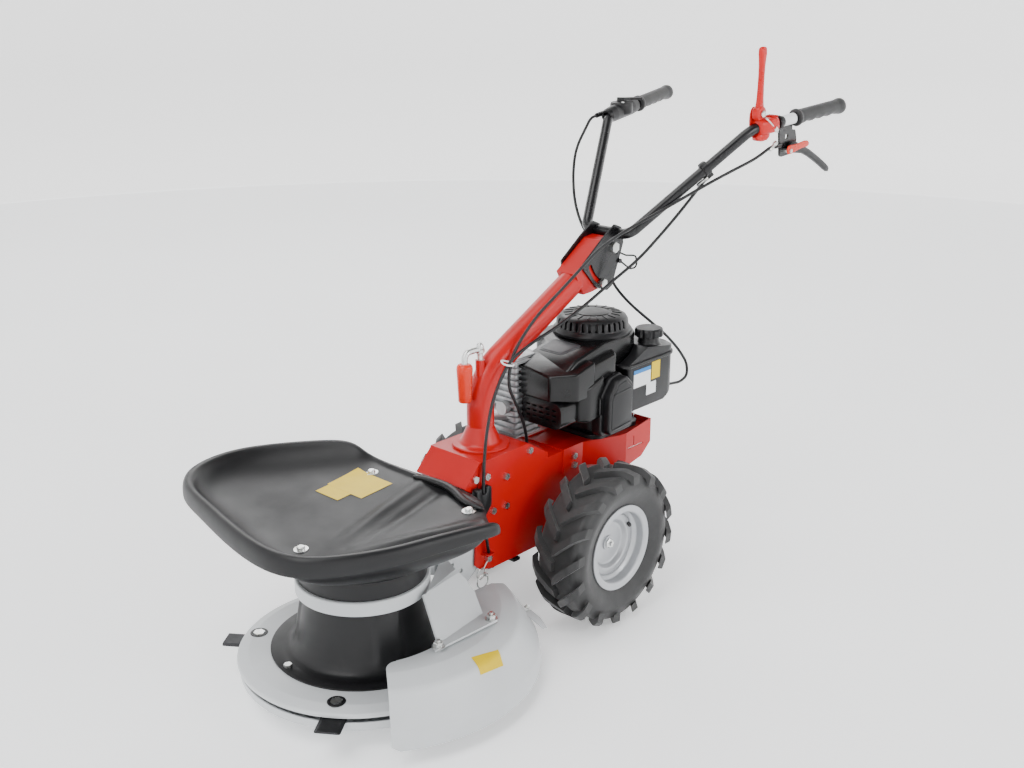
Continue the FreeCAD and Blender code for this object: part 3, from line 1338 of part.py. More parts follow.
def build_engine():
    """The engine's main pieces: crankcase, finned head, cowl, recoil cover and covers."""
    base = D.engine_base_z
    y0 = D.engine_y
    half = D.crankcase_half_width
    block = new_body("engine_block", 0, y0, base)
    pad(block, profile(block, "Foot", "XY_Plane", [
        (-half - 10, -half - 10, 26), (half + 10, -half - 10, 26),
        (half + 10, 62, 26), (-half - 10, 62, 26),
    ], [(72, 46, 4.5), (-72, 46, 4.5), (72, -74, 4.5), (-72, -74, 4.5)]), 9, "Foot")
    pad(block, profile(block, "Waist", "XY_Plane", [
        (4 - half, 4 - half, 30), (half - 4, 4 - half, 30), (half - 4, 60, 30), (4 - half, 60, 30),
    ], offset=8), 10, "Waist")
    pad(block, profile(block, "Case", "XY_Plane", [
        (-half, -half, 36), (half, -half, 36), (half, half, 60), (-half, half, 60),
    ], offset=16), D.crankcase_top_z - base - 16, "Case")
    pocket(block, profile(block, "CrankBore", "XY_Plane", circles=[
        (0, 0, D.crank_radius + D.running_fit),
    ], offset=60), 100, "CrankDrill")
    pad(block, profile(block, "Barrel", "XZ_Plane", [
        (-94, 24, 14), (-12, 24, 14), (-12, 108, 14), (-94, 108, 14),
    ], offset=half - 2), 70, "Barrel")

    head = new_body("cylinder_head", 0, 0, base)
    front = y0 - half - 68 - 0.02
    pad(head, profile(head, "HeadOutline", "XY_Plane", [
        (-88, front - 70, 8), (-18, front - 70, 8), (-18, front, 3), (-88, front, 3),
    ], offset=14), 170, "HeadCore")
    fin = pad(head, profile(head, "FinOutline", "XY_Plane", [
        (-95, front - 78, 6), (-11, front - 78, 6), (-11, front - 2, 3), (-95, front - 2, 3),
    ], offset=18), 4, "Fin")
    repeat_along(head, [fin], 13, 156, "Z_Axis", "Fins")
    pad(head, profile(head, "PlugBoss", "XZ_Plane", circles=[(-40, 80, 14)], offset=-front + 76), 14, "PlugBoss")

    cowl = new_body("blower_housing", 0, y0, D.crankcase_top_z + 0.02)
    tall = D.cowl_top_z - D.crankcase_top_z
    r = D.cowl_radius
    pad(cowl, profile(cowl, "CowlOutline", "XY_Plane", [
        (-r, -r, 40), (-r, r, r - 1), (r * 0.94, r, 78), (r * 0.94, -200, 16), (-8, -200, 16), (-8, -r - 20, 10),
    ]), tall, "Cowl")
    pad(cowl, profile(cowl, "LobePlan", "XY_Plane", [
        (50, -212, 8), (106, -212, 12), (106, -130, 4), (50, -130),
    ]), 70, "Lobe")
    pad(cowl, profile(cowl, "DuctPlan", "XY_Plane", [
        (58, -156, 14), (109, -156, 20), (109, -123, 3), (58, -123),
    ], offset=-5), 56, "Duct")
    pad(cowl, profile(cowl, "DuctFootPlan", "XY_Plane", [
        (79, -150, 6), (109, -156, 20), (109, -123, 3), (79, -123),
    ], offset=-58), 60, "DuctFoot")
    pad(cowl, profile(cowl, "DeckPlan", "XY_Plane", [
        (60, -180), (106, -180, 4), (106, -48, 12), (60, -26),
    ], offset=D.filter_top_z - D.crankcase_top_z + 1), tall - 29 - 2, "Deck")
    pocket(cowl, profile(cowl, "CowlSlope", "YZ_Plane", [
        (-r + 6, tall + 1), (-210, tall - 22), (-260, tall - 22), (-260, tall + 40), (-r + 6, tall + 40),
    ]), name="CowlCut")
    pad(cowl, profile(cowl, "NeckRing", "XY_Plane", circles=[(0, 0, D.dome_radius + 4)], offset=tall - 1), 4, "Neck")

    dome = new_body("recoil_cover", 0, y0, D.cowl_top_z + 3.04)
    rise = D.dome_top_z - D.cowl_top_z - 3
    r = D.dome_radius
    revolve(dome, [(0, 0), (r, 0), (r, 8, 3), (r - 10, rise - 6, 12), (r - 28, rise, 16), (0, rise)], name="Dome")
    slot = pocket(dome, profile(dome, "Slot", "XZ_Plane", [
        (-3.4, 5, 3), (3.4, 5, 3), (3.4, rise - 11, 3), (-3.4, rise - 11, 3),
    ], offset=r - 16), 30, "Slot", reverse=True)
    repeat_round(dome, [slot], 20, "Z_Axis", "Slots")
    hub = pocket(dome, profile(dome, "HubRing", "XY_Plane", circles=[(0, 0, 30), (0, 0, 24)], offset=rise + 1),
                 4, "HubRing")
    dome.Tip = hub

    body = new_body("air_filter_cover", 0, 0, 0)
    face = D.filter_face_x
    low = D.filter_bottom_z
    high = D.filter_top_z
    y1 = D.engine_y + D.filter_front
    y2 = D.engine_y + D.filter_rear
    pad(body, profile(body, "FilterPlan", "XY_Plane", [
        (face - 40, y1 - 16, 14), (face, y1 + 8, 16), (face, y2, 12), (face - 40, y2, 4),
    ], offset=low), high - low, "FilterBox")
    pocket(body, profile(body, "FilterSlope", "YZ_Plane", [
        (y1 - 20, high - 14), (y1 + 24, high + 0.1), (y1 + 24, high + 20), (y1 - 30, high + 20),
    ]), name="FilterTopCut")
    rib = pocket(body, profile(body, "FilterRib", "XZ_Plane", [
        (face - 1.6, low + 14), (face + 5, low + 14), (face + 5, low + 18), (face - 1.6, low + 18),
    ], offset=-y1 - 70), 62, "FilterRib")
    repeat_along(body, [rib], 5, 40, "Z_Axis", "FilterRibs")

    body = new_body("muffler_guard", 0, y0 - D.crankcase_half_width, base)
    pad(body, profile(body, "GuardPlan", "XY_Plane", [
        (-4, -0.02), (-4, -126, 12), (76, -126, 18), (76, -0.02),
    ], offset=56), 52, "GuardBox")
    pocket(body, profile(body, "GuardInner", "XY_Plane", [
        (0, -28), (0, -122, 9), (72, -122, 15), (72, -28),
    ], offset=60), 44, "GuardHollow", reverse=True)
    slot = pocket(body, profile(body, "GuardSlot", "XZ_Plane", [
        (8, 66, 2), (62, 66, 2), (62, 71, 2), (8, 71, 2),
    ], offset=118), 12, "GuardSlot", reverse=True)
    repeat_along(body, [slot], 4, 27, "Z_Axis", "GuardSlots")

    body = new_body("fuel_tank")
    low = D.tank_bottom_z
    high = D.tank_top_z
    y1 = D.engine_y + D.tank_front
    y2 = D.engine_y + D.tank_rear
    shell = D.tank_shell_z
    pad(body, profile(body, "TankPlan", "XY_Plane", [
        (98, y1, 3), (D.tank_face_x, y1, 10), (D.tank_face_x, y2 - 36, 30), (60, y2, 40), (-30, y2 - 20, 30),
        (-30, y2 - 76, 4),
    ], offset=low), shell - low + 1, "TankBox")
    pad(body, profile(body, "ShellPlan", "XY_Plane", [
        (64, y1 - 14, 6), (D.tank_face_x + 2, y1 - 12, 16), (D.tank_face_x + 2, y2 - 35, 30), (60, y2 + 2, 40),
        (-30, y2 - 18, 30), (-30, y2 - 76, 4),
    ], offset=shell), high - shell, "TankShell")
    drop = D.tank_fall * (y2 - y1)
    pocket(body, profile(body, "ShellSlope", "YZ_Plane", [
        (y1 - 20, high), (y2 + 10, high - drop), (y2 + 10, high + 10), (y1 - 20, high + 10),
    ]), name="ShellCut")
    pocket(body, profile(body, "TankUnder", "YZ_Plane", [
        (y1 + 60, low - 1), (y2 + 10, low - 1), (y2 + 10, low + 60), (y2 - 20, low + 24, 20),
    ]), name="TankUnderCut")
    pocket(body, profile(body, "CowlClear", "XY_Plane", circles=[(0, y0, D.cowl_radius + 1.2)]), name="CowlClear")
    pad(body, profile(body, "TankNeck", "XY_Plane", circles=[(D.cap_x, D.engine_y + D.cap_behind, 21)],
                      offset=shell), D.cap_top_z - 15 - shell, "TankNeck")

    stay = profile(body, "ClipStay", "XY_Plane", [(74, 802), (82, 802), (82, 809), (74, 809)], offset=392)
    pad(body, stay, 34, "Stay")
    pad(body, profile(body, "CableClip", "XZ_Plane", circles=[(78, 393.8, 5)], offset=-816.6), 14, "CableClip")

    cap = new_body("fuel_cap", D.cap_x, D.engine_y + D.cap_behind, 0)
    top = D.cap_top_z
    r = D.cap_radius
    under = top - D.cap_height
    revolve(cap, [(0, top - 14.7), (21.3, top - 14.7), (21.3, under), (r, under, 2), (r, top, 6), (0, top)],
            name="Cap")
    scallop = pocket(cap, profile(cap, "Scallop", "XY_Plane", circles=[(r + 2.5, 0, 6)], offset=top + 1), 21, "Scallop")
    repeat_round(cap, [scallop], 9, "Z_Axis", "Scallops")

    body = new_body("carburettor", 0, 0, 0)
    pad(body, profile(body, "CarbBody", "YZ_Plane", [
        (y0 - 84, 392, 6), (y0 - 40, 392, 6), (y0 - 40, 446, 6), (y0 - 84, 446, 6),
    ], offset=D.crankcase_half_width + 0.02), D.filter_face_x - 40 - D.crankcase_half_width - 0.04, "CarbBody")

    crank = new_body("crankshaft", 0, y0, 0)
    r = D.crank_radius
    rim = D.crank_pulley_radius
    half = D.belt_height / 2
    deep = rim - D.belt_depth - 2
    lower = D.drive_belt_z
    upper = D.belt_z
    revolve(crank, [
        (0, lower - half - 6), (rim, lower - half - 6), (rim, lower - half), (deep, lower - half),
        (deep, lower + half), (rim, lower + half), (rim, lower + half + 4), (r + 5, lower + half + 4),
        (r + 5, upper - half - 4), (rim, upper - half - 4), (rim, upper - half), (deep, upper - half),
        (deep, upper + half), (rim, upper + half), (rim, upper + half + 4), (r, upper + half + 4),
        (r, base + 58), (0, base + 58),
    ], name="Crank")

    angle = math.radians(128)
    reach = D.cowl_radius + 8.7
    grip = new_body("starter_grip", reach * math.cos(angle), y0 + reach * math.sin(angle), D.cowl_top_z - 44,
                    Rotation(Vector(0, 0, 1), 38))
    pad(grip, profile(grip, "GripPlan", "XY_Plane", [
        (-24, -8, 7), (24, -8, 7), (24, 8, 7), (-24, 8, 7),
    ]), 15, "Grip")


build_guard()
new_shape("guard_bracket", build_guard_bracket())
build_engine()
new_shape("frame_bolts", Part.Compound(build_frame_bolts() + build_bowl_screws()))


# ---------------------------------------------------------------- handlebar

def bar_direction(side):
    """The direction of the bar's upper run and its start on one side."""
    start = Vector(float(D.bar_bend_x) * side, float(D.bar_bend_y), float(D.bar_bend_z))
    end = Vector(float(D.bar_end_x) * side, float(D.bar_end_y), float(D.bar_end_z))
    return start, (end - start).normalize(), (end - start).Length


def bar_point(side, y):
    """The point of the bar's upper run at a given y."""
    start, along, _ = bar_direction(side)
    return start + along * ((float(y) - start.y) / along.y)


def build_bar():
    """The handlebar: one tube bent four times."""
    points = []
    for side in (-1, 1):
        arm = [
            Vector(float(D.bar_end_x) * side, float(D.bar_end_y), float(D.bar_end_z)),
            Vector(float(D.bar_bend_x) * side, float(D.bar_bend_y), float(D.bar_bend_z)),
            Vector(float(D.bar_root_x) * side, float(D.bar_root_y), float(D.bar_root_z)),
        ]
        points += arm if side < 0 else arm[::-1]
    path = rounded_path(points, [70, 30, 30, 70])
    full = rod(path, D.bar_radius)
    new_shape("handlebar_tube", full.cut(rod(path, D.bar_radius - D.bar_wall)))
    for side, name in ((1, "grip_left"), (-1, "grip_right")):
        end, along, _ = bar_direction(side)
        end = Vector(float(D.bar_end_x) * side, float(D.bar_end_y), float(D.bar_end_z))
        body = new_body(name, end.x, end.y, end.z, Rotation(Vector(0, 0, 1), along * -1))
        r = D.grip_radius
        long = D.grip_length
        bore = D.bar_radius + 0.02
        revolve(body, [
            (0, 0), (bore, 0), (bore, long), (r - 2.5, long), (r, long - 4), (r, long - 8), (r - 2, long - 12),
            (r - 2.5, 30), (r - 1, 14, 8), (r - 1, -4, 5), (0, -4),
        ], name="Grip")
        ring = groove(body, [
            (r - 3.6, 24), (r + 1, 24), (r + 1, 31), (r - 3.6, 31),
        ], name="Ring")
        repeat_along(body, [ring], 7, 84, "Z_Axis", "Rings")
    return full


def build_clamp():
    """Two clamp plates with the arc slot, held on the cross run of the bar."""
    body = new_body("clamp_plates", 0, 0, 0)
    inner = D.head_half_width + 0.8
    outer = inner + D.clamp_plate
    pad(body, profile(body, "Outline", "YZ_Plane", [
        (D.bar_root_y - 13, 763, 5), (D.bar_root_y + 9, 754, 5), (710, 721, 5), (675, 635, 5), (659, 628, 5),
        (625, 639, 8), (582, 684, 4), (580, 695, 3), (642, 739.5, 30),
    ], [(D.tilt_y, D.tilt_z, D.tilt_bolt_radius + D.running_fit), (D.bar_root_y, D.bar_root_z, D.bar_radius)]),
        outer * 2, "Plates", both=True)
    start = math.radians(float(D.slot_angle) - float(D.slot_sweep))
    end = math.radians(float(D.slot_angle))
    r = float(D.slot_radius)
    w = float(D.slot_bolt_radius) + 0.3
    cy = float(D.tilt_y)
    cz = float(D.tilt_z)
    sketch = new_sketch(body, "SlotShape", "YZ_Plane")

    def on_arc(radius, angle):
        """A point at an angle about the tilt pivot."""
        return Vector(cy + radius * math.cos(angle), cz + radius * math.sin(angle), 0)

    mid = (start + end) / 2
    a = sketch.addGeometry(Part.Arc(on_arc(r + w, start), on_arc(r + w, mid), on_arc(r + w, end)), False)
    end_tip = on_arc(r, end) + Vector(-math.sin(end), math.cos(end), 0) * w
    b = sketch.addGeometry(Part.Arc(on_arc(r + w, end), end_tip, on_arc(r - w, end)), False)
    c = sketch.addGeometry(Part.Arc(on_arc(r - w, end), on_arc(r - w, mid), on_arc(r - w, start)), False)
    start_tip = on_arc(r, start) - Vector(-math.sin(start), math.cos(start), 0) * w
    d = sketch.addGeometry(Part.Arc(on_arc(r - w, start), start_tip, on_arc(r + w, start)), False)
    for arc in (a, b, c, d):
        sketch.addConstraint(Sketcher.Constraint("Block", arc))
    pocket(body, sketch, name="Slot")
    pocket(body, profile(body, "Between", "YZ_Plane", [(500, 560), (760, 560), (760, 800), (500, 800)]),
           inner * 2, "Gap", both=True)


def build_controls(bar):
    """The hand controls on the bar: blade lever, clutch lever, safety lock and throttle."""
    y = D.blade_pivot_y
    spot = bar_point(1, y)
    z = float(spot.z) + float(D.blade_pivot_rise)
    x = spot.x
    hub = 15.0
    y = float(y)
    block = box((x - 12.5, x + 12.5), (y - 17, y + 17), (spot.z - 18, z))
    top = Part.makeCylinder(17, 25, Vector(x - 12.5, y, z), Vector(1, 0, 0))
    block = fuse([block, top]).cut(box((x - 8.7, x + 8.7), (y - 40, y + 40), (spot.z + 11.4, z + 40)))
    block = block.cut(bar)
    pin_radius = float(D.lever_pin_radius)
    pin = Part.makeCylinder(pin_radius, 25, Vector(x - 12.5, y, z), Vector(1, 0, 0))
    new_shape("blade_lever_bracket", block.fuse(pin).removeSplitter())

    body = new_body("blade_lever", x, y, z)
    reach = D.blade_lever_reach
    pad(body, profile(body, "Arm", "YZ_Plane", [
        (-11, 8), (-8, reach - 34, 20), (-14, reach - 6, 6), (-10, reach, 4), (12, reach, 5), (14, reach - 10, 6),
        (8, reach - 34, 20), (11, 8),
    ]), 11, "Arm", both=True)
    pad(body, profile(body, "Hub", "YZ_Plane", circles=[(0, 0, hub)]), 16, "Hub", both=True)
    pocket(body, profile(body, "HubBore", "YZ_Plane", circles=[(0, 0, D.lever_pin_radius + D.running_fit)]),
           name="HubDrill")

    spot = bar_point(1, 1040)
    x = spot.x - 1
    body = new_body("clutch_bracket", x, 0, 0)
    py = D.clutch_pivot_y
    pz = D.clutch_pivot_z
    under = bar_point(1, 1004).z - float(D.bar_radius) - 0.6
    slope = bar_direction(1)[1].z / bar_direction(1)[1].y
    pad(body, profile(body, "BracketSide", "YZ_Plane", [
        (1004, under), (1008, 915, 10), (1013, 880, 8), (py + 12, pz - 11, 8), (1078, 912, 10), (1070, 934, 6),
        (1057, 934, 3), (1057, under + slope * 53),
    ], [(py, pz, 4), (D.lock_pivot_y, 894, 4), (1036, 922, 6)]), 4, "Side", both=True)
    pad(body, profile(body, "Ferrule", "XZ_Plane", circles=[(0, 905, 5)], offset=-1016), 20, "FerruleBarrel")

    lever = new_body("clutch_lever", x + 7.4, py, pz)
    reach = D.clutch_lever_reach
    pad(lever, profile(lever, "LeverSide", "YZ_Plane", [
        (-26, -4, 4), (-24, 9, 6), (4, 13, 8), (40, 4, 30), (reach, -48, 5), (reach + 3, -66, 6), (reach - 12, -68, 6),
        (40, -20, 30), (4, -13, 8),
    ], [(0, 0, 4 + D.running_fit)]), 10, "Lever", both=True)

    lock = new_body("safety_lock", x + 16.2, D.lock_pivot_y, 894)
    pad(lock, profile(lock, "LockSide", "YZ_Plane", [
        (-9, -9, 8), (-9, 9, 8), (30, 6, 12), (76, 14, 5), (80, 4, 4), (34, -9, 16),
    ], [(0, 0, 4 + D.running_fit)]), 5, "Lock", both=True)
    pins = [
        Part.makeCylinder(4, 16, Vector(x - 2.5, float(py), float(pz)), Vector(1, 0, 0)),
        Part.makeCylinder(4, 24, Vector(x - 2.5, float(D.lock_pivot_y), 894), Vector(1, 0, 0)),
    ]
    new_shape("control_pins", Part.Compound(pins))

    spot = bar_point(-1, D.throttle_y)
    along = bar_direction(-1)[1]
    r = D.bar_radius
    sleeve = turned([
        (-66, r - 2), (-66, r + 2), (-60, r + 5, 3), (-40, r + 7), (40, r + 7), (62, r + 5, 3), (66, r + 2), (66, r - 2),
    ], Vector(1, 0, 0))
    sleeve.Placement = Placement(spot, Rotation(Vector(1, 0, 0), along))
    boss = Part.makeCylinder(11, float(r) + 11, spot)
    gland_at, gland_along = throttle_gland()
    gland = Part.makeCylinder(5.5, 30, gland_at, gland_along)
    gland_arm = Part.makeCylinder(4, 16, gland_at + gland_along * 24, Vector(1, 0, 0))
    new_shape("throttle_housing", fuse([sleeve, boss, gland, gland_arm]).cut(bar))
    post = new_body("throttle_lever", spot.x, spot.y, spot.z + D.bar_radius + 11.3)
    pad(post, profile(post, "Hub", "XY_Plane", circles=[(0, 0, 10)]), 7, "Hub")
    pad(post, profile(post, "Paddle", "XY_Plane", [
        (-9, -9, 8), (9, -9, 8), (12, 20, 8), (30, 44, 5), (22, 50, 5), (-2, 26, 10), (-9, 9, 6),
    ]), 6, "Paddle")


def throttle_gland():
    """Where the throttle cable leaves its housing, and the direction into it."""
    along = bar_direction(-1)[1]
    return bar_point(-1, D.throttle_y) - along * 78 + at(-float(D.bar_radius) - 10, 0, 2), along


def cable_stop():
    """The blade cable's stop on the bar: the bar's point, its run and the barrel's place."""
    root = at(D.bar_root_x, D.bar_root_y, D.bar_root_z)
    bend = at(D.bar_bend_x, D.bar_bend_y, D.bar_bend_z)
    along = (bend - root).normalize()
    spot = root + along * ((bend - root).Length * 0.62)
    down = Vector(0, 0, -1)
    down = (down - along * down.dot(along)).normalize()
    return spot, along, spot + down * (float(D.bar_radius) + 6) - along * 8


def build_guides():
    """The cable stop on the bar and the wire ring on the clamp plate."""
    outer = float(D.head_half_width) + 0.8 + float(D.clamp_plate)
    points = [Vector(outer + 2, 690, 704), Vector(outer + 6, 712, 694), Vector(outer + 12, 738, 690),
              Vector(outer + 12, 744, 664), Vector(outer + 10, 722, 664), Vector(outer + 2, 697, 684)]
    ring = rod(rounded_path(points, [8, 10, 9, 9]), 2)
    ring = fuse([ring,
                 Part.makeCylinder(5, 3.9, Vector(outer + 0.02, 690, 704), Vector(1, 0, 0)),
                 Part.makeCylinder(5, 3.9, Vector(outer + 0.02, 697, 684), Vector(1, 0, 0))])
    spot, along, barrel = cable_stop()
    r = float(D.bar_radius)
    clamp = Part.makeCylinder(r + 3, 14, spot - along * 7, along)
    stop = fuse([clamp, Part.makeCylinder(5, 16, barrel, along)])
    stop = stop.cut(Part.makeCylinder(r + 0.01, 40, spot - along * 20, along))
    new_shape("cable_guides", Part.Compound([ring, stop]))


bar_solid = build_bar()
build_clamp()
build_controls(bar_solid)
build_guides()


# ---------------------------------------------------------------- belt tensioners

def build_tension_arms():
    """The idlers of the two belts on their arms, and the lever under the frame."""
    top = float(D.belt_z) + float(D.belt_height) / 2 + 2
    x = float(D.tension_x)
    y = float(D.tension_y)
    r = float(D.tension_shaft_radius)
    spot = Vector(x + 11, y + 36, float(D.belt_z) - 5.5)
    shaft = Part.makeCylinder(r, top + 4 - 139, Vector(x, y, 139))
    arm = fuse([
        Part.makeCylinder(11, 4, Vector(x, y, top)),
        Part.makeCylinder(9, 4, Vector(spot.x, spot.y, top)),
        box((x - 8, x + 17), (y, y + 36), (top, top + 4)),
    ])
    idler = Part.makeCylinder(float(D.idler_radius), 11, spot)
    axle = Part.makeCylinder(5, top + 2 - spot.z, spot)
    lever = box((x - 8, 70), (y - 9, y + 9), (140, 146))
    new_shape("tension_arm", fuse([shaft, arm, idler, axle, lever]))
    low = float(D.drive_belt_z)
    deck = float(D.deck_z) - 0.3
    spot = Vector(-55.5, 616, low - 5.5)
    hub = Part.makeCylinder(8, deck - low + 16, Vector(-80, 655, low - 16))
    idler = Part.makeCylinder(12, 11, spot)
    axle = Part.makeCylinder(5, 12, Vector(spot.x, spot.y, low - 13))
    along = Vector(spot.x + 80, spot.y - 655, 0)
    bar = box((0, along.Length), (-8, 8), (0, 5))
    bar.Placement = Placement(Vector(-80, 655, low - 14), Rotation(Vector(1, 0, 0), along))
    new_shape("drive_arm", fuse([hub, idler, axle, bar]))


build_tension_arms()


# ---------------------------------------------------------------- cables

def cable(name, points):
    """A sheathed cable: straight runs joined by arcs as wide as the runs allow."""
    points = [at(*point) for point in points]
    radii = []
    for before, here, after in zip(points, points[1:], points[2:]):
        back = before - here
        ahead = after - here
        half = back.getAngle(ahead) / 2
        radii.append(0.45 * min(back.Length, ahead.Length) * math.tan(half))
    path = rounded_path(points, radii)
    solid = rod(path, D.cable_radius)
    ratio = solid.Volume / (math.pi * float(D.cable_radius) ** 2 * path.Length)
    print("{} length {:.0f} radii {} volume ratio {:.4f}".format(
        name, path.Length, [round(radius) for radius in radii], ratio))
    new_shape(name, solid)


gland, gland_along = throttle_gland()
_, stop_along, stop = cable_stop()
ferrule = Vector(bar_point(1, 1040).x - 1, 996 - 1, 905)
THROTTLE_CABLE = [
    gland - gland_along * 0.8, gland - gland_along * 26, (-208, 838, 878), (-190, 808, 826), (-170, 790, 776),
    (-144, 778, 734), (-110, 780, 686), (-72, 782, 636), (-38, 782, 594), (-6, 794, 562), (24, 818, 530),
    (46, 850, 496), (62, 880, 458), (72, 900, 424), (78, 896, 396), (79, 866, 388), (78, 842, 391), (78, 817.4, 393.8),
]
CLUTCH_CABLE = [
    ferrule, ferrule - Vector(0, 18, 0), (192, 940, 884), (156, 850, 848), (96, 729, 786), (60, 665, 752), (42, 610, 722),
    (38, 560, 690), (36, 500, 655), (34, 440, 622), (33, 400, 590), (34, 365, 555), (35, 350, 499),
    (32, 385, 440), (22, 412, 400), (15, 429.4, 362), (14, 429.5, 322),
]
BLADE_CABLE = [
    stop - stop_along * 0.8, (112, 774, 772), (76, 706, 694), (48, 650, 650), (42, 565, 612), (42, 480, 586),
    (43, 412, 572), (43, 352, 552), (46, 318, 520), (52, 288, 480), (66, 256, 421), (77, 238, 352),
    (79, 236, 268), (78, 250, D.blade_lug_z + 0.9),
]
cable("throttle_cable", THROTTLE_CABLE)
cable("clutch_cable", CLUTCH_CABLE)
cable("blade_cable", BLADE_CABLE)


# ---------------------------------------------------------------- output

doc.recompute()
faults = []
for item in doc.Objects:
    if "Invalid" in item.State or "Error" in item.State:
        faults.append("{}: {}".format(item.Name, item.State))
for piece in pieces:
    if piece.Shape.isNull() or not piece.Shape.isValid():
        faults.append("{}: no valid shape".format(piece.Label))
if faults:
    raise RuntimeError("; ".join(faults))
os.makedirs("parts", exist_ok=True)
for piece in pieces:
    piece.Shape.exportStep(os.path.join("parts", piece.Label + ".step"))
    print("{:22s} {:12.0f} mm3".format(piece.Label, piece.Shape.Volume), len(piece.Shape.Solids))
print(len(pieces), "pieces")
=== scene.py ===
"""Finish and small detail of a two-wheel walk-behind drum mower.

The machine's main solids come from its construction model and are dressed here.  Every sub-assembly is
a class that holds its own sizes, models the small pieces that the construction model leaves out, and
gives each solid its finish.  Lengths in the classes are millimetres, in the machine's own frame: +X is
the operator's left, +Y the rear, +Z up, and the drum's axis meets the ground at the origin.
"""
from __future__ import annotations

import logging
import math
from collections.abc import Iterable, Sequence
from dataclasses import dataclass
from enum import Enum

import bpy
from mathutils import Matrix, Vector

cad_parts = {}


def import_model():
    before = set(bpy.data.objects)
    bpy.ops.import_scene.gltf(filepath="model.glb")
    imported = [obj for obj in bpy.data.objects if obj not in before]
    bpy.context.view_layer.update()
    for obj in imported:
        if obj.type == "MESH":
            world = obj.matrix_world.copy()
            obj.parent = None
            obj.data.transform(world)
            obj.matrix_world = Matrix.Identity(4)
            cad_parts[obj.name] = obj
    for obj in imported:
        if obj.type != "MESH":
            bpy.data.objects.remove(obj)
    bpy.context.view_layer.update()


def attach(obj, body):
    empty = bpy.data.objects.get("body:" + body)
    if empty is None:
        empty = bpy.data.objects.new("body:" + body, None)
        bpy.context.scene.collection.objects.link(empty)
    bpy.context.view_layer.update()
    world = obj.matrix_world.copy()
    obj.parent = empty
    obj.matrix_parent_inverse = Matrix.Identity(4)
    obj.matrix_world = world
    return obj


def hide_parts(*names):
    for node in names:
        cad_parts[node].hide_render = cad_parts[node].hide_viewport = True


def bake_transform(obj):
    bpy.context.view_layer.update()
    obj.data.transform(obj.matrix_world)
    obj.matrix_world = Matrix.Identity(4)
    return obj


LOG = logging.getLogger("drum_mower")
MM = 0.001
Point = tuple[float, float, float]


# ------------------------------------------------------------------ finishes


def linear(colour: str) -> tuple[float, float, float, float]:
    """Turn an sRGB hex colour into the linear values that a shader wants.

    Args:
        colour: Six hex digits, such as "c01810".

    Returns:
        Linear red, green, blue and an alpha of 1.
    """
    channels = [int(colour[place:place + 2], 16) / 255 for place in (0, 2, 4)]
    red, green, blue = (c / 12.92 if c <= 0.04045 else ((c + 0.055) / 1.055) ** 2.4 for c in channels)
    return red, green, blue, 1.0


def add_node(
    tree: bpy.types.NodeTree,
    kind: str,
    settings: dict[str, object] | None = None,
    values: dict[str | int, object] | None = None,
    links: dict[str | int, bpy.types.NodeSocket] | None = None,
) -> bpy.types.Node:
    """Add one shader node with its settings, its fixed values and its links.

    Args:
        tree: The material's node tree.
        kind: The node's type, without the "ShaderNode" in front.
        settings: Properties of the node.
        values: Default values of its inputs, by name or number.
        links: Outputs of other nodes that feed its inputs, by name or number.

    Returns:
        The new node.
    """
    node = tree.nodes.new("ShaderNode" + kind)
    for name, value in (settings or {}).items():
        setattr(node, name, value)
    for name, value in (values or {}).items():
        node.inputs[name].default_value = value
    for name, socket in (links or {}).items():
        tree.links.new(socket, node.inputs[name])
    return node


def per_metre(grain_mm: float) -> float:
    """Scale of a noise whose grains are about so many millimetres across."""
    return 1.0 / (grain_mm * MM)


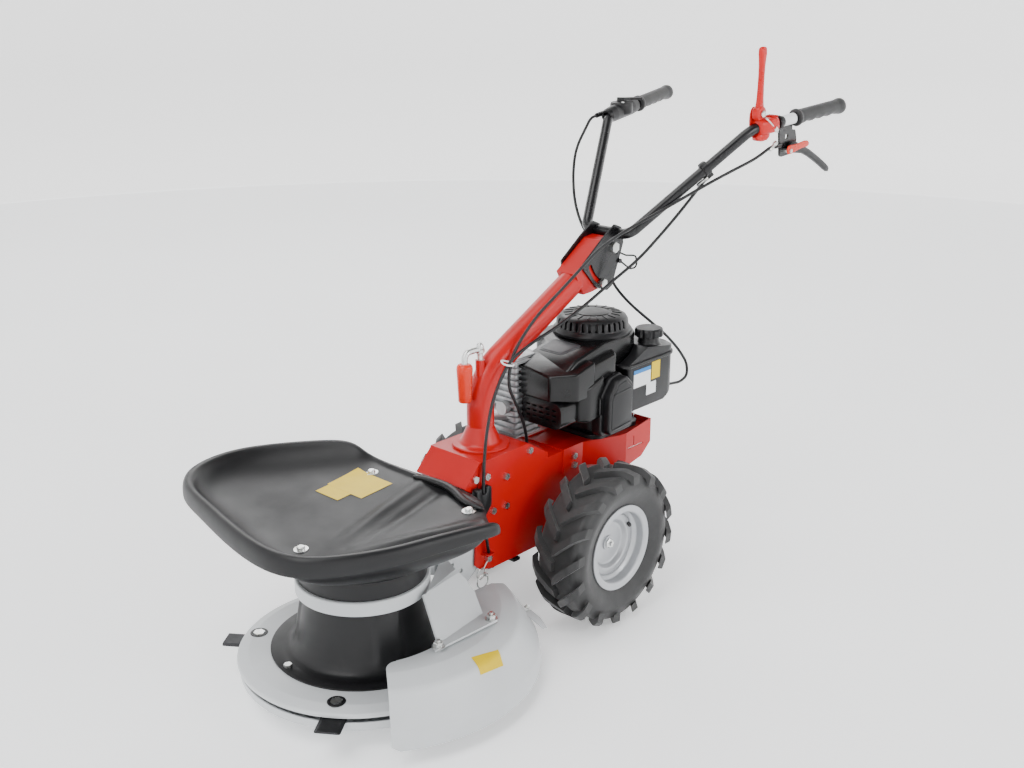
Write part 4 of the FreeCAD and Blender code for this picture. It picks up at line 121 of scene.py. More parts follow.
@dataclass(frozen=True)
class Surface:
    """Shared layers of a finish: colour drift, gloss drift and a relief.

    Attributes:
        name: The material and how its surface was made.
        colour: sRGB hex of the clean surface.
        second: sRGB hex that the colour drifts to.
        roughness: Roughness where the surface is smoothest.
        roughness_spread: How much rougher it is where it is dullest.
        grain_mm: Size of the relief's grain.
        relief_mm: Depth of the relief.
        drift_mm: Size of the patches in which colour and gloss drift.
    """

    name: str
    colour: str
    second: str
    roughness: float
    roughness_spread: float
    grain_mm: float
    relief_mm: float
    drift_mm: float

    def shader_values(self) -> dict[str | int, object]:
        """Values set on the shader's own sockets."""
        return {"IOR": 1.5}

    def relief(self, tree: bpy.types.NodeTree, place: bpy.types.NodeSocket) -> bpy.types.NodeSocket:
        """Height of the surface's relief, from 0 to 1.

        Args:
            tree: The material's node tree.
            place: Object coordinates.

        Returns:
            The socket that carries the height.
        """
        noise = add_node(tree, "TexNoise", None, {
            "Scale": per_metre(self.grain_mm), "Detail": 3.0, "Roughness": 0.55,
        }, {"Vector": place})
        return noise.outputs["Fac"]

    def tint(self, tree: bpy.types.NodeTree, place: bpy.types.NodeSocket) -> bpy.types.NodeSocket:
        """Colour of the surface, drifting between its two colours.

        Args:
            tree: The material's node tree.
            place: Object coordinates.

        Returns:
            The socket that carries the colour.
        """
        drift = add_node(tree, "TexNoise", None, {
            "Scale": per_metre(self.drift_mm), "Detail": 4.0, "Roughness": 0.6,
        }, {"Vector": place})
        ramp = add_node(tree, "ValToRGB", None, None, {"Fac": drift.outputs["Fac"]})
        ramp.color_ramp.elements[0].position = 0.35
        ramp.color_ramp.elements[0].color = linear(self.colour)
        ramp.color_ramp.elements[1].position = 0.72
        ramp.color_ramp.elements[1].color = linear(self.second)
        return ramp.outputs["Color"]

    def material(self) -> bpy.types.Material:
        """Build the material, or give back the one already built.

        Returns:
            The material.
        """
        ready = bpy.data.materials.get(self.name)
        if ready:
            return ready
        material = bpy.data.materials.new(self.name)
        material.use_nodes = True
        tree = material.node_tree
        tree.nodes.clear()
        place = add_node(tree, "TexCoord").outputs["Object"]
        gloss = add_node(tree, "TexNoise", None, {
            "Scale": per_metre(self.drift_mm * 0.6), "Detail": 5.0, "Roughness": 0.65,
        }, {"Vector": place})
        rough = add_node(tree, "MapRange", None, {
            "From Min": 0.3, "From Max": 0.7, "To Min": self.roughness,
            "To Max": self.roughness + self.roughness_spread,
        }, {"Value": gloss.outputs["Fac"]})
        bump = add_node(tree, "Bump", None, {"Strength": 1.0, "Distance": self.relief_mm * MM}, {
            "Height": self.relief(tree, place),
        })
        shader = add_node(tree, "BsdfPrincipled", None, self.shader_values(), {
            "Base Color": self.tint(tree, place),
            "Roughness": rough.outputs["Result"],
            "Normal": bump.outputs["Normal"],
        })
        add_node(tree, "OutputMaterial", None, None, {"Surface": shader.outputs["BSDF"]})
        material.diffuse_color = linear(self.colour)
        return material


@dataclass(frozen=True)
class PowderCoat(Surface):
    """Polyester powder baked on steel: a thick even colour with a faint orange peel."""

    coat: float

    def shader_values(self) -> dict[str | int, object]:
        """A thin clear skin lies over the pigment."""
        return {"IOR": 1.5, "Specular IOR Level": 0.3, "Coat Weight": self.coat, "Coat Roughness": 0.2}


@dataclass(frozen=True)
class MouldedPlastic(Surface):
    """Injection moulded plastic: even colour, the mould's fine grain, softer shine than paint."""

    def shader_values(self) -> dict[str | int, object]:
        """Plastic without a separate skin."""
        return {"IOR": 1.49, "Specular IOR Level": 0.36}


@dataclass(frozen=True)
class Rubber(Surface):
    """Vulcanised rubber: dark, matt, with dusty drift where it has been handled."""

    def shader_values(self) -> dict[str | int, object]:
        """A dull surface with a weak sheen from its bloom."""
        return {"IOR": 1.52, "Sheen Weight": 0.15, "Sheen Roughness": 0.6}


@dataclass(frozen=True)
class BareMetal(Surface):
    """Metal without paint: plated, cast or ground, so its colour is its reflection."""

    metallic: float = 1.0

    def shader_values(self) -> dict[str | int, object]:
        """The metal keeps the shader's own IOR."""
        return {"Metallic": self.metallic}


@dataclass(frozen=True)
class SprayedSilver(Surface):
    """Aluminium-flake lacquer sprayed on a pressed rim: half a metal, half a paint."""

    def shader_values(self) -> dict[str | int, object]:
        """The flakes lie under a clear skin."""
        return {"Metallic": 0.55, "Coat Weight": 0.25, "Coat Roughness": 0.2}

    def relief(self, tree: bpy.types.NodeTree, place: bpy.types.NodeSocket) -> bpy.types.NodeSocket:
        """The flakes stand at slightly different angles, drawn coarser than they are.

        Args:
            tree: The material's node tree.
            place: Object coordinates.

        Returns:
            The socket that carries the height.
        """
        flakes = add_node(tree, "TexVoronoi", None, {"Scale": per_metre(self.grain_mm)}, {"Vector": place})
        return flakes.outputs["Distance"]


@dataclass(frozen=True)
class FilmLabel(Surface):
    """Plain printed film stuck on a panel: one flat colour, a little glossier than plastic."""

    def shader_values(self) -> dict[str | int, object]:
        """A varnished surface."""
        return {"IOR": 1.5, "Specular IOR Level": 0.2}


class Finish(Enum):
    """Every finish on the machine."""

    # deep signal red, glossy, with a peel of about 2 mm
    RED_COAT = PowderCoat("red_polyester_powder_coat", "b40504", "aa0403", 0.3, 0.08, 2.2, 0.03, 140, 0.1)
    # near black, with a tighter gloss than the red
    BLACK_COAT = PowderCoat(
        "black_polyester_powder_coat", "0d0d10", "121214", 0.22, 0.1, 2.0, 0.03, 120, 0.25,
    )
    # a cool, slightly grey white
    WHITE_COAT = PowderCoat(
        "white_polyester_powder_coat", "c5c8ca", "bec1c3", 0.34, 0.1, 2.2, 0.03, 160, 0.15,
    )
    # a bright grey that glitters finely where the light grazes the rim
    SILVER_LACQUER = SprayedSilver(
        "silver_flake_lacquer_on_steel", "b4b6b9", "a6a8ab", 0.34, 0.1, 0.8, 0.01, 60,
    )
    # a waxy satin black with a fine leather grain
    POLYETHYLENE = MouldedPlastic(
        "black_moulded_polyethylene", "0e0e10", "131315", 0.34, 0.12, 1.4, 0.04, 160,
    )
    # a deep black in which the lights stand as clear streaks
    GLOSSY_ABS = MouldedPlastic("black_gloss_moulded_ABS", "070708", "0a0a0b", 0.2, 0.08, 6.0, 0.02, 60)
    # a softer black that spreads the lights into broad patches
    SATIN_ABS = MouldedPlastic("black_satin_moulded_ABS", "0e0e10", "131315", 0.3, 0.12, 1.2, 0.04, 60)
    # a flat mid grey that sets the bare plate off from the cowl
    GREY_ABS = MouldedPlastic("grey_satin_moulded_ABS", "3c3d40", "444549", 0.36, 0.1, 1.2, 0.03, 50)
    # an even, bright red, shinier than the red paint
    RED_NYLON = MouldedPlastic("red_moulded_nylon", "c00905", "b60704", 0.24, 0.1, 3.0, 0.008, 40)
    # the same shine, turned a little towards orange
    ORANGE_NYLON = MouldedPlastic("orange_red_moulded_nylon", "d42c0a", "ca2608", 0.2, 0.1, 3.0, 0.008, 40)
    # a dusty near black with hardly a highlight
    TYRE = Rubber("black_vulcanised_tyre_rubber", "0d0d0e", "141415", 0.55, 0.16, 1.6, 0.12, 45)
    # a shade greyer and smoother than the tyres
    GRIP = Rubber("black_moulded_grip_rubber", "101011", "161617", 0.5, 0.16, 1.2, 0.08, 30)
    # a flat charcoal, like cloth
    BELT = Rubber("black_wrapped_belt_rubber", "1b1b1c", "262627", 0.66, 0.14, 1.0, 0.08, 20)
    # a smooth black line with one thin highlight
    SHEATH = MouldedPlastic("black_extruded_cable_sheath", "131315", "1a1a1c", 0.3, 0.12, 3.0, 0.02, 30)
    # a cold bright metal with a faint yellow drift
    ZINC = BareMetal("zinc_plated_turned_steel", "dcdedf", "c9c8c0", 0.22, 0.14, 0.9, 0.02, 14)
    # a darker and more even metal than the zinc
    SHAFT = BareMetal("bright_drawn_steel", "b2b3b4", "9d9d9c", 0.26, 0.12, 0.8, 0.02, 18)
    # a pale, dull metal with a sandy skin
    CASTING = BareMetal("sand_cast_aluminium", "b6b8ba", "9d9fa1", 0.42, 0.18, 1.3, 0.12, 22, 0.9)
    # a dark grey metal that only shines at a low angle
    BLADE = BareMetal("oil_blackened_spring_steel", "3b3b3d", "29292b", 0.38, 0.16, 1.0, 0.03, 25, 0.8)
    # a plain warm yellow
    YELLOW_FILM = FilmLabel("yellow_vinyl_film", "d9ba00", "d2b200", 0.28, 0.08, 4.0, 0.01, 30)
    # a plain cool white
    WHITE_FILM = FilmLabel("white_vinyl_film", "eceeef", "e2e5e7", 0.28, 0.08, 4.0, 0.01, 30)
    # a plain mid blue
    BLUE_FILM = FilmLabel("blue_vinyl_film", "2f7fc4", "2a75b8", 0.28, 0.08, 4.0, 0.01, 30)
    # a pale ground that takes only soft shadows
    FLOOR = MouldedPlastic("pale_matt_studio_floor", "f4f5f6", "f0f1f2", 0.7, 0.1, 8.0, 0.02, 900)

    def material(self) -> bpy.types.Material:
        """The finish's material."""
        return self.value.material()


def coat_node(node: str, finish: Finish) -> None:
    """Give a solid of the construction model its finish.

    Args:
        node: The solid's name.
        finish: Its finish.
    """
    piece = bpy.data.objects[node]
    if not piece.material_slots:
        piece.data.materials.append(finish.material())
    for slot in piece.material_slots:
        slot.material = finish.material()
    LOG.info("finish %-40s on %s", finish.name, node)


# ------------------------------------------------------------------ workbench


class Plane(Enum):
    """The plane that an outline is drawn in; it is raised along the third axis."""

    PLAN = "seen from above, raised along Z"
    SIDE = "seen from the left, raised along X"
    FRONT = "seen from the front, raised along Y"

    def place(self, across: float, along: float, depth: float) -> Vector:
        """A point of the outline in the machine's frame.

        Args:
            across: First coordinate in the plane.
            along: Second coordinate in the plane.
            depth: Coordinate on the third axis.

        Returns:
            The point in millimetres.
        """
        if self is Plane.PLAN:
            return Vector((across, along, depth))
        if self is Plane.SIDE:
            return Vector((depth, across, along))
        return Vector((across, depth, along))


def begin() -> None:
    """Leave edit mode and let go of everything that is selected."""
    if bpy.context.object and bpy.context.object.mode == "EDIT":
        bpy.ops.object.mode_set(mode="OBJECT")
    bpy.ops.object.select_all(action="DESELECT")


def hold(*pieces: bpy.types.Object) -> None:
    """Select some pieces, the first of them active.

    Args:
        pieces: The pieces.
    """
    begin()
    for piece in pieces:
        piece.select_set(True)
    bpy.context.view_layer.objects.active = pieces[0]


def named(name: str) -> bpy.types.Object:
    """Name the newest primitive and settle its place into its mesh.

    Args:
        name: The piece's name.

    Returns:
        The piece.
    """
    piece = bpy.context.object
    piece.name = name
    piece.data.name = name
    bpy.ops.object.transform_apply(location=True, rotation=True, scale=True)
    return piece


def pick_all(piece: bpy.types.Object) -> None:
    """Go into edit mode with everything selected.

    Args:
        piece: The piece to edit.
    """
    hold(piece)
    bpy.ops.object.mode_set(mode="EDIT")
    bpy.ops.mesh.select_all(action="SELECT")


def face_out(piece: bpy.types.Object) -> bpy.types.Object:
    """Turn every face outwards.

    Args:
        piece: The piece to put right.

    Returns:
        The piece.
    """
    pick_all(piece)
    bpy.ops.mesh.normals_make_consistent(inside=False)
    begin()
    return piece


def add_modifier(piece: bpy.types.Object, kind: str, settings: dict[str, object]) -> bpy.types.Object:
    """Add a modifier and apply it.

    Args:
        piece: The piece.
        kind: The modifier's type.
        settings: Its properties.

    Returns:
        The piece.
    """
    hold(piece)
    modifier = piece.modifiers.new(kind.lower(), kind)
    for name, value in settings.items():
        setattr(modifier, name, value)
    bpy.ops.object.modifier_apply(modifier=modifier.name)
    return piece


def soften(piece: bpy.types.Object, width: float, steps: int = 3, angle: float = 30) -> bpy.types.Object:
    """Round a piece's edges and shade it smoothly between them.

    Args:
        piece: The piece.
        width: Width of the rounding.
        steps: Faces across the rounding.
        angle: Edges sharper than this are rounded, in degrees.

    Returns:
        The piece.
    """
    add_modifier(piece, "BEVEL", {
        "width": width * MM, "segments": steps, "limit_method": "ANGLE", "angle_limit": math.radians(angle),
    })
    return shade(piece)


def shade(piece: bpy.types.Object, angle: float = 40) -> bpy.types.Object:
    """Shade a piece smoothly where its faces turn by less than an angle.

    Args:
        piece: The piece to shade.
        angle: The angle in degrees.

    Returns:
        The piece.
    """
    hold(piece)
    bpy.ops.object.shade_smooth_by_angle(angle=math.radians(angle))
    return piece


def carve(piece: bpy.types.Object, cutter: bpy.types.Object) -> bpy.types.Object:
    """Cut one piece out of another; the cutter is used up.

    Args:
        piece: The piece that stays.
        cutter: The piece that is cut out of it.

    Returns:
        The piece that stays.
    """
    add_modifier(piece, "BOOLEAN", {"operation": "DIFFERENCE", "solver": "EXACT", "object": cutter})
    bpy.data.objects.remove(cutter)
    return piece


def merge_doubles(piece: bpy.types.Object) -> None:
    """Weld vertices that lie on each other.

    Args:
        piece: The piece to weld.
    """
    pick_all(piece)
    bpy.ops.mesh.remove_doubles(threshold=0.01 * MM)
    begin()


def slice_off(piece: bpy.types.Object, place: Point, normal: Point) -> bpy.types.Object:
    """Cut away what lies beyond a plane and close the cut.

    Args:
        piece: The piece.
        place: A point of the plane.
        normal: Its normal, which points to what goes.

    Returns:
        The piece.
    """
    pick_all(piece)
    bpy.ops.mesh.bisect(plane_co=Vector(place) * MM, plane_no=normal, use_fill=True, clear_outer=True)
    begin()
    return piece


def copy_of(piece: bpy.types.Object, name: str) -> bpy.types.Object:
    """Copy a piece with a mesh of its own, and show it even if the piece is hidden.

    Args:
        piece: The piece.
        name: The copy's name.

    Returns:
        The copy.
    """
    twin = piece.copy()
    twin.data = piece.data.copy()
    twin.name = name
    twin.data.name = name
    bpy.context.scene.collection.objects.link(twin)
    twin.hide_render = False
    twin.hide_viewport = False
    return twin


def join(name: str, pieces: Sequence[bpy.types.Object]) -> bpy.types.Object:
    """Join pieces into one.

    Args:
        name: The joined piece's name.
        pieces: The pieces, which are used up.

    Returns:
        The joined piece.
    """
    hold(*pieces)
    bpy.ops.object.join()
    whole = bpy.context.object
    whole.name = name
    whole.data.name = name
    return whole


def ramp(value: float, start: float, end: float) -> float:
    """Rise evenly from 0 at the start to 1 at the end, and stay level outside them."""
    return min(1.0, max(0.0, (value - start) / (end - start)))


def shifted(x: float, y: float, z: float) -> Matrix:
    """A move by so many millimetres."""
    return Matrix.Translation(Vector((x, y, z)) * MM)


def turned_about(place: Point, axis: Point, angle: float) -> Matrix:
    """A turn about an axis through a place.

    Args:
        place: A point on the axis.
        axis: The axis's direction.
        angle: The turn in degrees.

    Returns:
        The matrix, in metres.
    """
    centre = Matrix.Translation(Vector(place) * MM)
    return centre @ Matrix.Rotation(math.radians(angle), 4, Vector(axis)) @ centre.inverted()


def rounded(outline: Sequence[Sequence[float]], steps: int = 6) -> list[tuple[float, float]]:
    """Round an outline's corners.

    Args:
        outline: Corners of two coordinates, with a radius where the corner is round.
        steps: Points on each round corner.

    Returns:
        The outline's points.
    """
    points: list[tuple[float, float]] = []
    for place, corner in enumerate(outline):
        here = Vector(corner[:2])
        if len(corner) < 3:
            points.append((here.x, here.y))
            continue
        before = Vector(outline[place - 1][:2]) - here
        after = Vector(outline[(place + 1) % len(outline)][:2]) - here
        half = before.angle(after) / 2
        reach = min(corner[2] / math.tan(half), 0.49 * before.length, 0.49 * after.length)
        radius = reach * math.tan(half)
        middle = here + (before.normalized() + after.normalized()).normalized() * (radius / math.sin(half))
        start = here + before.normalized() * reach - middle
        sweep = (here + after.normalized() * reach - middle).angle_signed(start)
        for step in range(steps + 1):
            angle = sweep * step / steps
            points.append((
                middle.x + start.x * math.cos(angle) - start.y * math.sin(angle),
                middle.y + start.x * math.sin(angle) + start.y * math.cos(angle),
            ))
    return points


def pick_ring(piece: bpy.types.Object, ring: Sequence[int]) -> None:
    """Go into edit mode with one closed run of edges selected.

    Args:
        piece: The piece.
        ring: The run's vertices, in order.
    """
    hold(piece)
    bpy.ops.object.mode_set(mode="EDIT")
    bpy.ops.mesh.select_mode(type="EDGE")
    bpy.ops.mesh.select_all(action="DESELECT")
    bpy.ops.object.mode_set(mode="OBJECT")
    wanted = {frozenset((ring[step - 1], index)) for step, index in enumerate(ring)}
    for edge in piece.data.edges:
        edge.select = frozenset(edge.vertices) in wanted
    ends = set(ring)
    for vertex in piece.data.vertices:
        vertex.select = vertex.index in ends
    bpy.ops.object.mode_set(mode="EDIT")


def spot_of(vertex: bpy.types.MeshVertex) -> tuple[float, ...]:
    """A vertex's place, rounded so that a vertex drawn out of it is recognised."""
    return tuple(round(value, 7) for value in vertex.co)


def skin(
    name: str, rings: Sequence[Sequence[Vector]], capped: tuple[bool, bool] = (True, True),
) -> bpy.types.Object:
    """Draw a skin over rings of equally many points.

    The first ring is a circle primitive pulled to shape, and each further ring is extruded from it.

    Args:
        name: The piece's name.
        rings: The rings, in millimetres.
        capped: Whether the first and the last ring are closed by a face.

    Returns:
        The piece.
    """
    begin()
    count = len(rings[0])
    bpy.ops.mesh.primitive_circle_add(vertices=count, radius=1.0, fill_type="NOTHING")
    piece = named(name)
    mesh = piece.data
    mesh.update()
    for vertex, point in zip(mesh.vertices, rings[0]):
        vertex.co = point * MM
    if capped[0]:
        pick_all(piece)
        bpy.ops.mesh.edge_face_add()
        begin()
    rim = list(range(count))
    for ring in rings[1:]:
        steps = {spot_of(mesh.vertices[index]): step for step, index in enumerate(rim)}
        pick_ring(piece, rim)
        bpy.ops.mesh.extrude_edges_move()
        bpy.ops.object.mode_set(mode="OBJECT")
        drawn, before = [0] * count, set(rim)
        for vertex in mesh.vertices:
            if vertex.select and vertex.index not in before:
                drawn[steps[spot_of(vertex)]] = vertex.index
        for index, point in zip(drawn, ring):
            mesh.vertices[index].co = point * MM
        rim = drawn
    if capped[1]:
        pick_ring(piece, rim)
        bpy.ops.mesh.edge_face_add()
        begin()
    return face_out(piece)


def block(name: str, middle: Point, size: Point) -> bpy.types.Object:
    """A plain box.

    Args:
        name: The piece's name.
        middle: Its middle.
        size: Its width, length and height.

    Returns:
        The piece.
    """
    begin()
    bpy.ops.mesh.primitive_cube_add(size=1.0, location=Vector(middle) * MM, scale=Vector(size) * MM)
    return named(name)


def raised(
    name: str, plane: Plane, outline: Sequence[Sequence[float]], low: float, high: float, steps: int = 6,
) -> bpy.types.Object:
    """Raise an outline between two heights.

    Args:
        name: The piece's name.
        plane: The outline's plane.
        outline: Its corners, with radii where they are round.
        low: Height of the first face.
        high: Height of the last face.
        steps: Points on each round corner.

    Returns:
        The piece.
    """
    points = rounded(outline, steps)
    return skin(name, [[plane.place(a, b, depth) for a, b in points] for depth in (low, high)])


def turned(
    name: str, stations: Sequence[tuple[float, float]], place: Point, axis: Point = (0, 0, 1),
    sides: int = 48, capped: tuple[bool, bool] = (True, True),
) -> bpy.types.Object:
    """Turn a piece on an axis.

    Args:
        name: The piece's name.
        stations: Radius and height, from the foot up.
        place: The foot's centre.
        axis: The axis's direction.
        sides: Faces round the piece.
        capped: Whether the foot and the top are closed.

    Returns:
        The piece.
    """
    turn = Vector((0, 0, 1)).rotation_difference(Vector(axis))
    foot = Vector(place)
    rings = []
    for radius, height in stations:
        ring = []
        for side in range(sides):
            angle = 2 * math.pi * side / sides
            ring.append(foot + turn @ Vector((radius * math.cos(angle), radius * math.sin(angle), height)))
        rings.append(ring)
    return skin(name, rings, capped)


def bent_rod(name: str, points: Sequence[Point], radius: float, closed: bool = False) -> bpy.types.Object:
    """A round rod or wire along a smooth curve.

    Args:
        name: The piece's name.
        points: The curve's control points.
        radius: The rod's radius.
        closed: Whether the rod is a ring.

    Returns:
        The piece, as a mesh.
    """
    begin()
    curve = bpy.data.curves.new(name, "CURVE")
    curve.dimensions = "3D"
    curve.bevel_depth = radius * MM
    curve.bevel_resolution = 3
    curve.resolution_u = 6
    curve.use_fill_caps = True
    spline = curve.splines.new("NURBS")
    spline.points.add(len(points) - 1)
    for knot, point in zip(spline.points, points):
        knot.co = (*(Vector(point) * MM), 1.0)
    spline.order_u = 3
    spline.use_endpoint_u = not closed
    spline.use_cyclic_u = closed
    piece = bpy.data.objects.new(name, curve)
    bpy.context.scene.collection.objects.link(piece)
    hold(piece)
    bpy.ops.object.convert(target="MESH")
    return shade(face_out(bpy.context.object), 60)


def limb(
    name: str, stations: Sequence[Sequence[float]], across: Point, sides: int = 24, squareness: float = 2.6,
) -> bpy.types.Object:
    """A solid limb along a path, with a rounded section that changes on the way.

    Args:
        name: The piece's name.
        stations: Place, half width across and half width aside at each station.
        across: Direction in which the first half width is measured.
        sides: Points round the section.
        squareness: 2 gives an ellipse, more gives a squarer section.

    Returns:
        The piece.
    """
    places = [Vector(station[:3]) for station in stations]
    rings = []
    for index, station in enumerate(stations):
        along = (places[min(index + 1, len(places) - 1)] - places[max(index - 1, 0)]).normalized()
        wide = Vector(across) - along * Vector(across).dot(along)
        wide.normalize()
        deep = along.cross(wide)
        ring = []
        for side in range(sides):
            angle = 2 * math.pi * side / sides
            out, up = math.cos(angle), math.sin(angle)
            ring.append(
                places[index] + wide * station[3] * math.copysign(abs(out) ** (2 / squareness), out)
                + deep * station[4] * math.copysign(abs(up) ** (2 / squareness), up)
            )
        rings.append(ring)
    return shade(skin(name, rings), 50)


def film(
    name: str, finish: Finish, centre: Point, across: Point, up: Point, size: tuple[float, float],
    carrier: str,
) -> bpy.types.Object:
    """A thin plain label laid on a surface of the chassis.

    Args:
        name: The label's name.
        finish: Its finish.
        centre: Its middle, near the surface.
        across: Direction of its width.
        up: Direction of its height.
        size: Its width and height.
        carrier: Name of the piece it is stuck on.

    Returns:
        The label.
    """
    lead, gap, thickness, facets = 12.0, 0.45, 0.35, 12
    right = Vector(across).normalized()
    out = right.cross(Vector(up)).normalized()
    top = out.cross(right)
    begin()
    bpy.ops.mesh.primitive_grid_add(x_subdivisions=facets, y_subdivisions=facets, size=1.0)
    piece = named(name)
    piece.data.transform(Matrix.Diagonal((size[0] * MM, size[1] * MM, 1.0, 1.0)))
    piece.data.transform(Matrix((right, top, out)).transposed().to_4x4())
    piece.data.transform(Matrix.Translation((Vector(centre) + out * lead) * MM))
    add_modifier(piece, "SHRINKWRAP", {
        "target": bpy.data.objects[carrier], "wrap_method": "NEAREST_SURFACEPOINT",
        "wrap_mode": "ABOVE_SURFACE", "offset": gap * MM,
    })
    add_modifier(piece, "SOLIDIFY", {"thickness": thickness * MM, "offset": 1.0})
    return dress(shade(piece), finish, "chassis")


def dress(
    piece: bpy.types.Object, finish: Finish, body: str, stands_for: Sequence[str] = (),
) -> bpy.types.Object:
    """Give a new piece its finish and hang it on its body.

    Args:
        piece: The piece.
        finish: Its finish.
        body: The body that it moves with.
        stands_for: Solids of the construction model that it takes the place of.

    Returns:
        The piece.
    """
    piece.data.materials.clear()
    piece.data.materials.append(finish.material())
    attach(piece, body)
    if stands_for:
        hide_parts(*stands_for)
    LOG.info("piece %-38s %6d faces, on %s", piece.name, len(piece.data.polygons), body)
    return piece


def plated(
    name: str, stations: Sequence[tuple[float, float]], place: Point, axis: Point, sides: int,
    body: str = "chassis", crease: float = 30,
) -> bpy.types.Object:
    """A small turned fitting of plated steel: a washer, a nut or a screw.

    Args:
        name: The piece's name.
        stations: Radius and height, from the foot up.
        place: The foot's centre.
        axis: The axis's direction.
        sides: Faces round the piece, six for a hexagon.
        body: The body that it moves with.
        crease: Faces that turn by more than this are shaded apart, in degrees.

    Returns:
        The piece.
    """
    return dress(shade(turned(name, stations, place, axis, sides), crease), Finish.ZINC, body)


# ------------------------------------------------------------------ studio


@dataclass(frozen=True)
class SoftLight:
    """A square light of the studio.

    Attributes:
        name: The light's name.
        place: Where it hangs, in metres.
        aim: What it points at, in metres.
        size: Its side in metres.
        power: Its power in watts.
    """

    name: str
    place: Point
    aim: Point
    size: float
    power: float

    def hang(self) -> None:
        """Hang the light up."""
        light = bpy.data.lights.new(self.name, "AREA")
        light.size = self.size
        light.energy = self.power
        lamp = bpy.data.objects.new(self.name, light)
        lamp.location = self.place
        lamp.rotation_euler = (Vector(self.aim) - Vector(self.place)).to_track_quat("-Z", "Y").to_euler()
        bpy.context.scene.collection.objects.link(lamp)


@dataclass
class Studio:
    """Floor, backdrop, soft lights and the camera."""

    camera_place: Point = (1564.37, -1304.07, 1263.07)
    camera_turn: float = 42.53
    camera_drop: float = 18.68
    lens: float = 43.47
    sensor_width: float = 36.0
    floor_span: float = 16000.0
    floor_drop: float = 0.5
    floor_glow: float = 0.42
    room_glow: float = 0.35
    backdrop_glow: float = 0.6
    backdrop_middle: Point = (0.0, 400.0, 0.0)
    backdrop_sweep: tuple[tuple[float, float], ...] = (
        (5400, 4), (6600, 40), (7400, 180), (7900, 500), (8150, 1100), (8200, 6500), (8230, 6500),
        (8230, -20),
    )
    sun_power: float = 1.9
    sun_spread: float = 45.0
    sun_turn: tuple[float, float] = (14.0, -10.0)
    soft_lights: tuple[SoftLight, ...] = (
        SoftLight("key_light", (0.4, -2.4, 3.2), (0.0, 0.3, 0.4), 1.6, 55.0),
        SoftLight("side_light", (3.2, 1.2, 1.9), (0.0, 0.5, 0.5), 1.1, 32.0),
        SoftLight("back_light", (-2.4, 2.2, 2.8), (0.0, 0.4, 0.5), 1.6, 35.0),
    )

    def build(self) -> None:
        """Set up the floor, the backdrop, the lights and the camera."""
        self.build_floor()
        self.build_backdrop()
        self.build_lights()
        self.build_camera()

    def let_glow(self, material: bpy.types.Material, strength: float) -> bpy.types.Node:
        """Let a material shine a little by itself, so that it stays pale in the shade.

        Args:
            material: The material.
            strength: How strongly it shines.

        Returns:
            The material's main shader.
        """
        shader = next(node for node in material.node_tree.nodes if node.type == "BSDF_PRINCIPLED")
        shader.inputs["Emission Color"].default_value = linear("ffffff")
        shader.inputs["Emission Strength"].default_value = strength
        return shader

    def build_floor(self) -> None:
        """A pale floor just under the machine."""
        begin()
        bpy.ops.mesh.primitive_plane_add(size=self.floor_span * MM, location=(0, 0, -self.floor_drop * MM))
        floor = bpy.context.object
        floor.name = "studio_floor"
        surface = Finish.FLOOR.material()
        self.let_glow(surface, self.floor_glow)
        floor.data.materials.append(surface)

    def build_backdrop(self) -> None:
        """A pale sheet that runs up all round the machine in one sweep."""
        sheet = turned(
            "backdrop", self.backdrop_sweep, self.backdrop_middle, sides=96, capped=(False, False),
        )
        shade(sheet, 60)
        paper = bpy.data.materials.new("pale_paper_backdrop")
        paper.use_nodes = True
        shader = self.let_glow(paper, self.backdrop_glow)
        shader.inputs["Base Color"].default_value = linear("f4f4f4")
        shader.inputs["Roughness"].default_value = 0.9
        sheet.data.materials.append(paper)

    def build_lights(self) -> None:
        """A bright pale room with a broad sun and three soft lights."""
        world = bpy.data.worlds.new("studio_room")
        world.use_nodes = True
        room = world.node_tree.nodes["Background"]
        room.inputs["Color"].default_value = linear("ffffff")
        room.inputs["Strength"].default_value = self.room_glow
        bpy.context.scene.world = world
        sun = bpy.data.lights.new("overhead_light", "SUN")
        sun.energy = self.sun_power
        sun.angle = math.radians(self.sun_spread)
        lamp = bpy.data.objects.new("overhead_light", sun)
        lamp.rotation_euler = (*(math.radians(turn) for turn in self.sun_turn), 0)
        bpy.context.scene.collection.objects.link(lamp)
        for soft_light in self.soft_lights:
            soft_light.hang()

    def build_camera(self) -> None:
        """The camera, a little above the grips, to the machine's front left."""
        camera = bpy.data.cameras.new("camera")
        camera.lens = self.lens
        camera.sensor_width = self.sensor_width
        camera.clip_start = 50 * MM
        eye = bpy.data.objects.new("camera", camera)
        eye.location = Vector(self.camera_place) * MM
        eye.rotation_euler = (math.radians(90 - self.camera_drop), 0, math.radians(self.camera_turn))
        bpy.context.scene.collection.objects.link(eye)
        bpy.context.scene.camera = eye


# ------------------------------------------------------------------ sub-assemblies


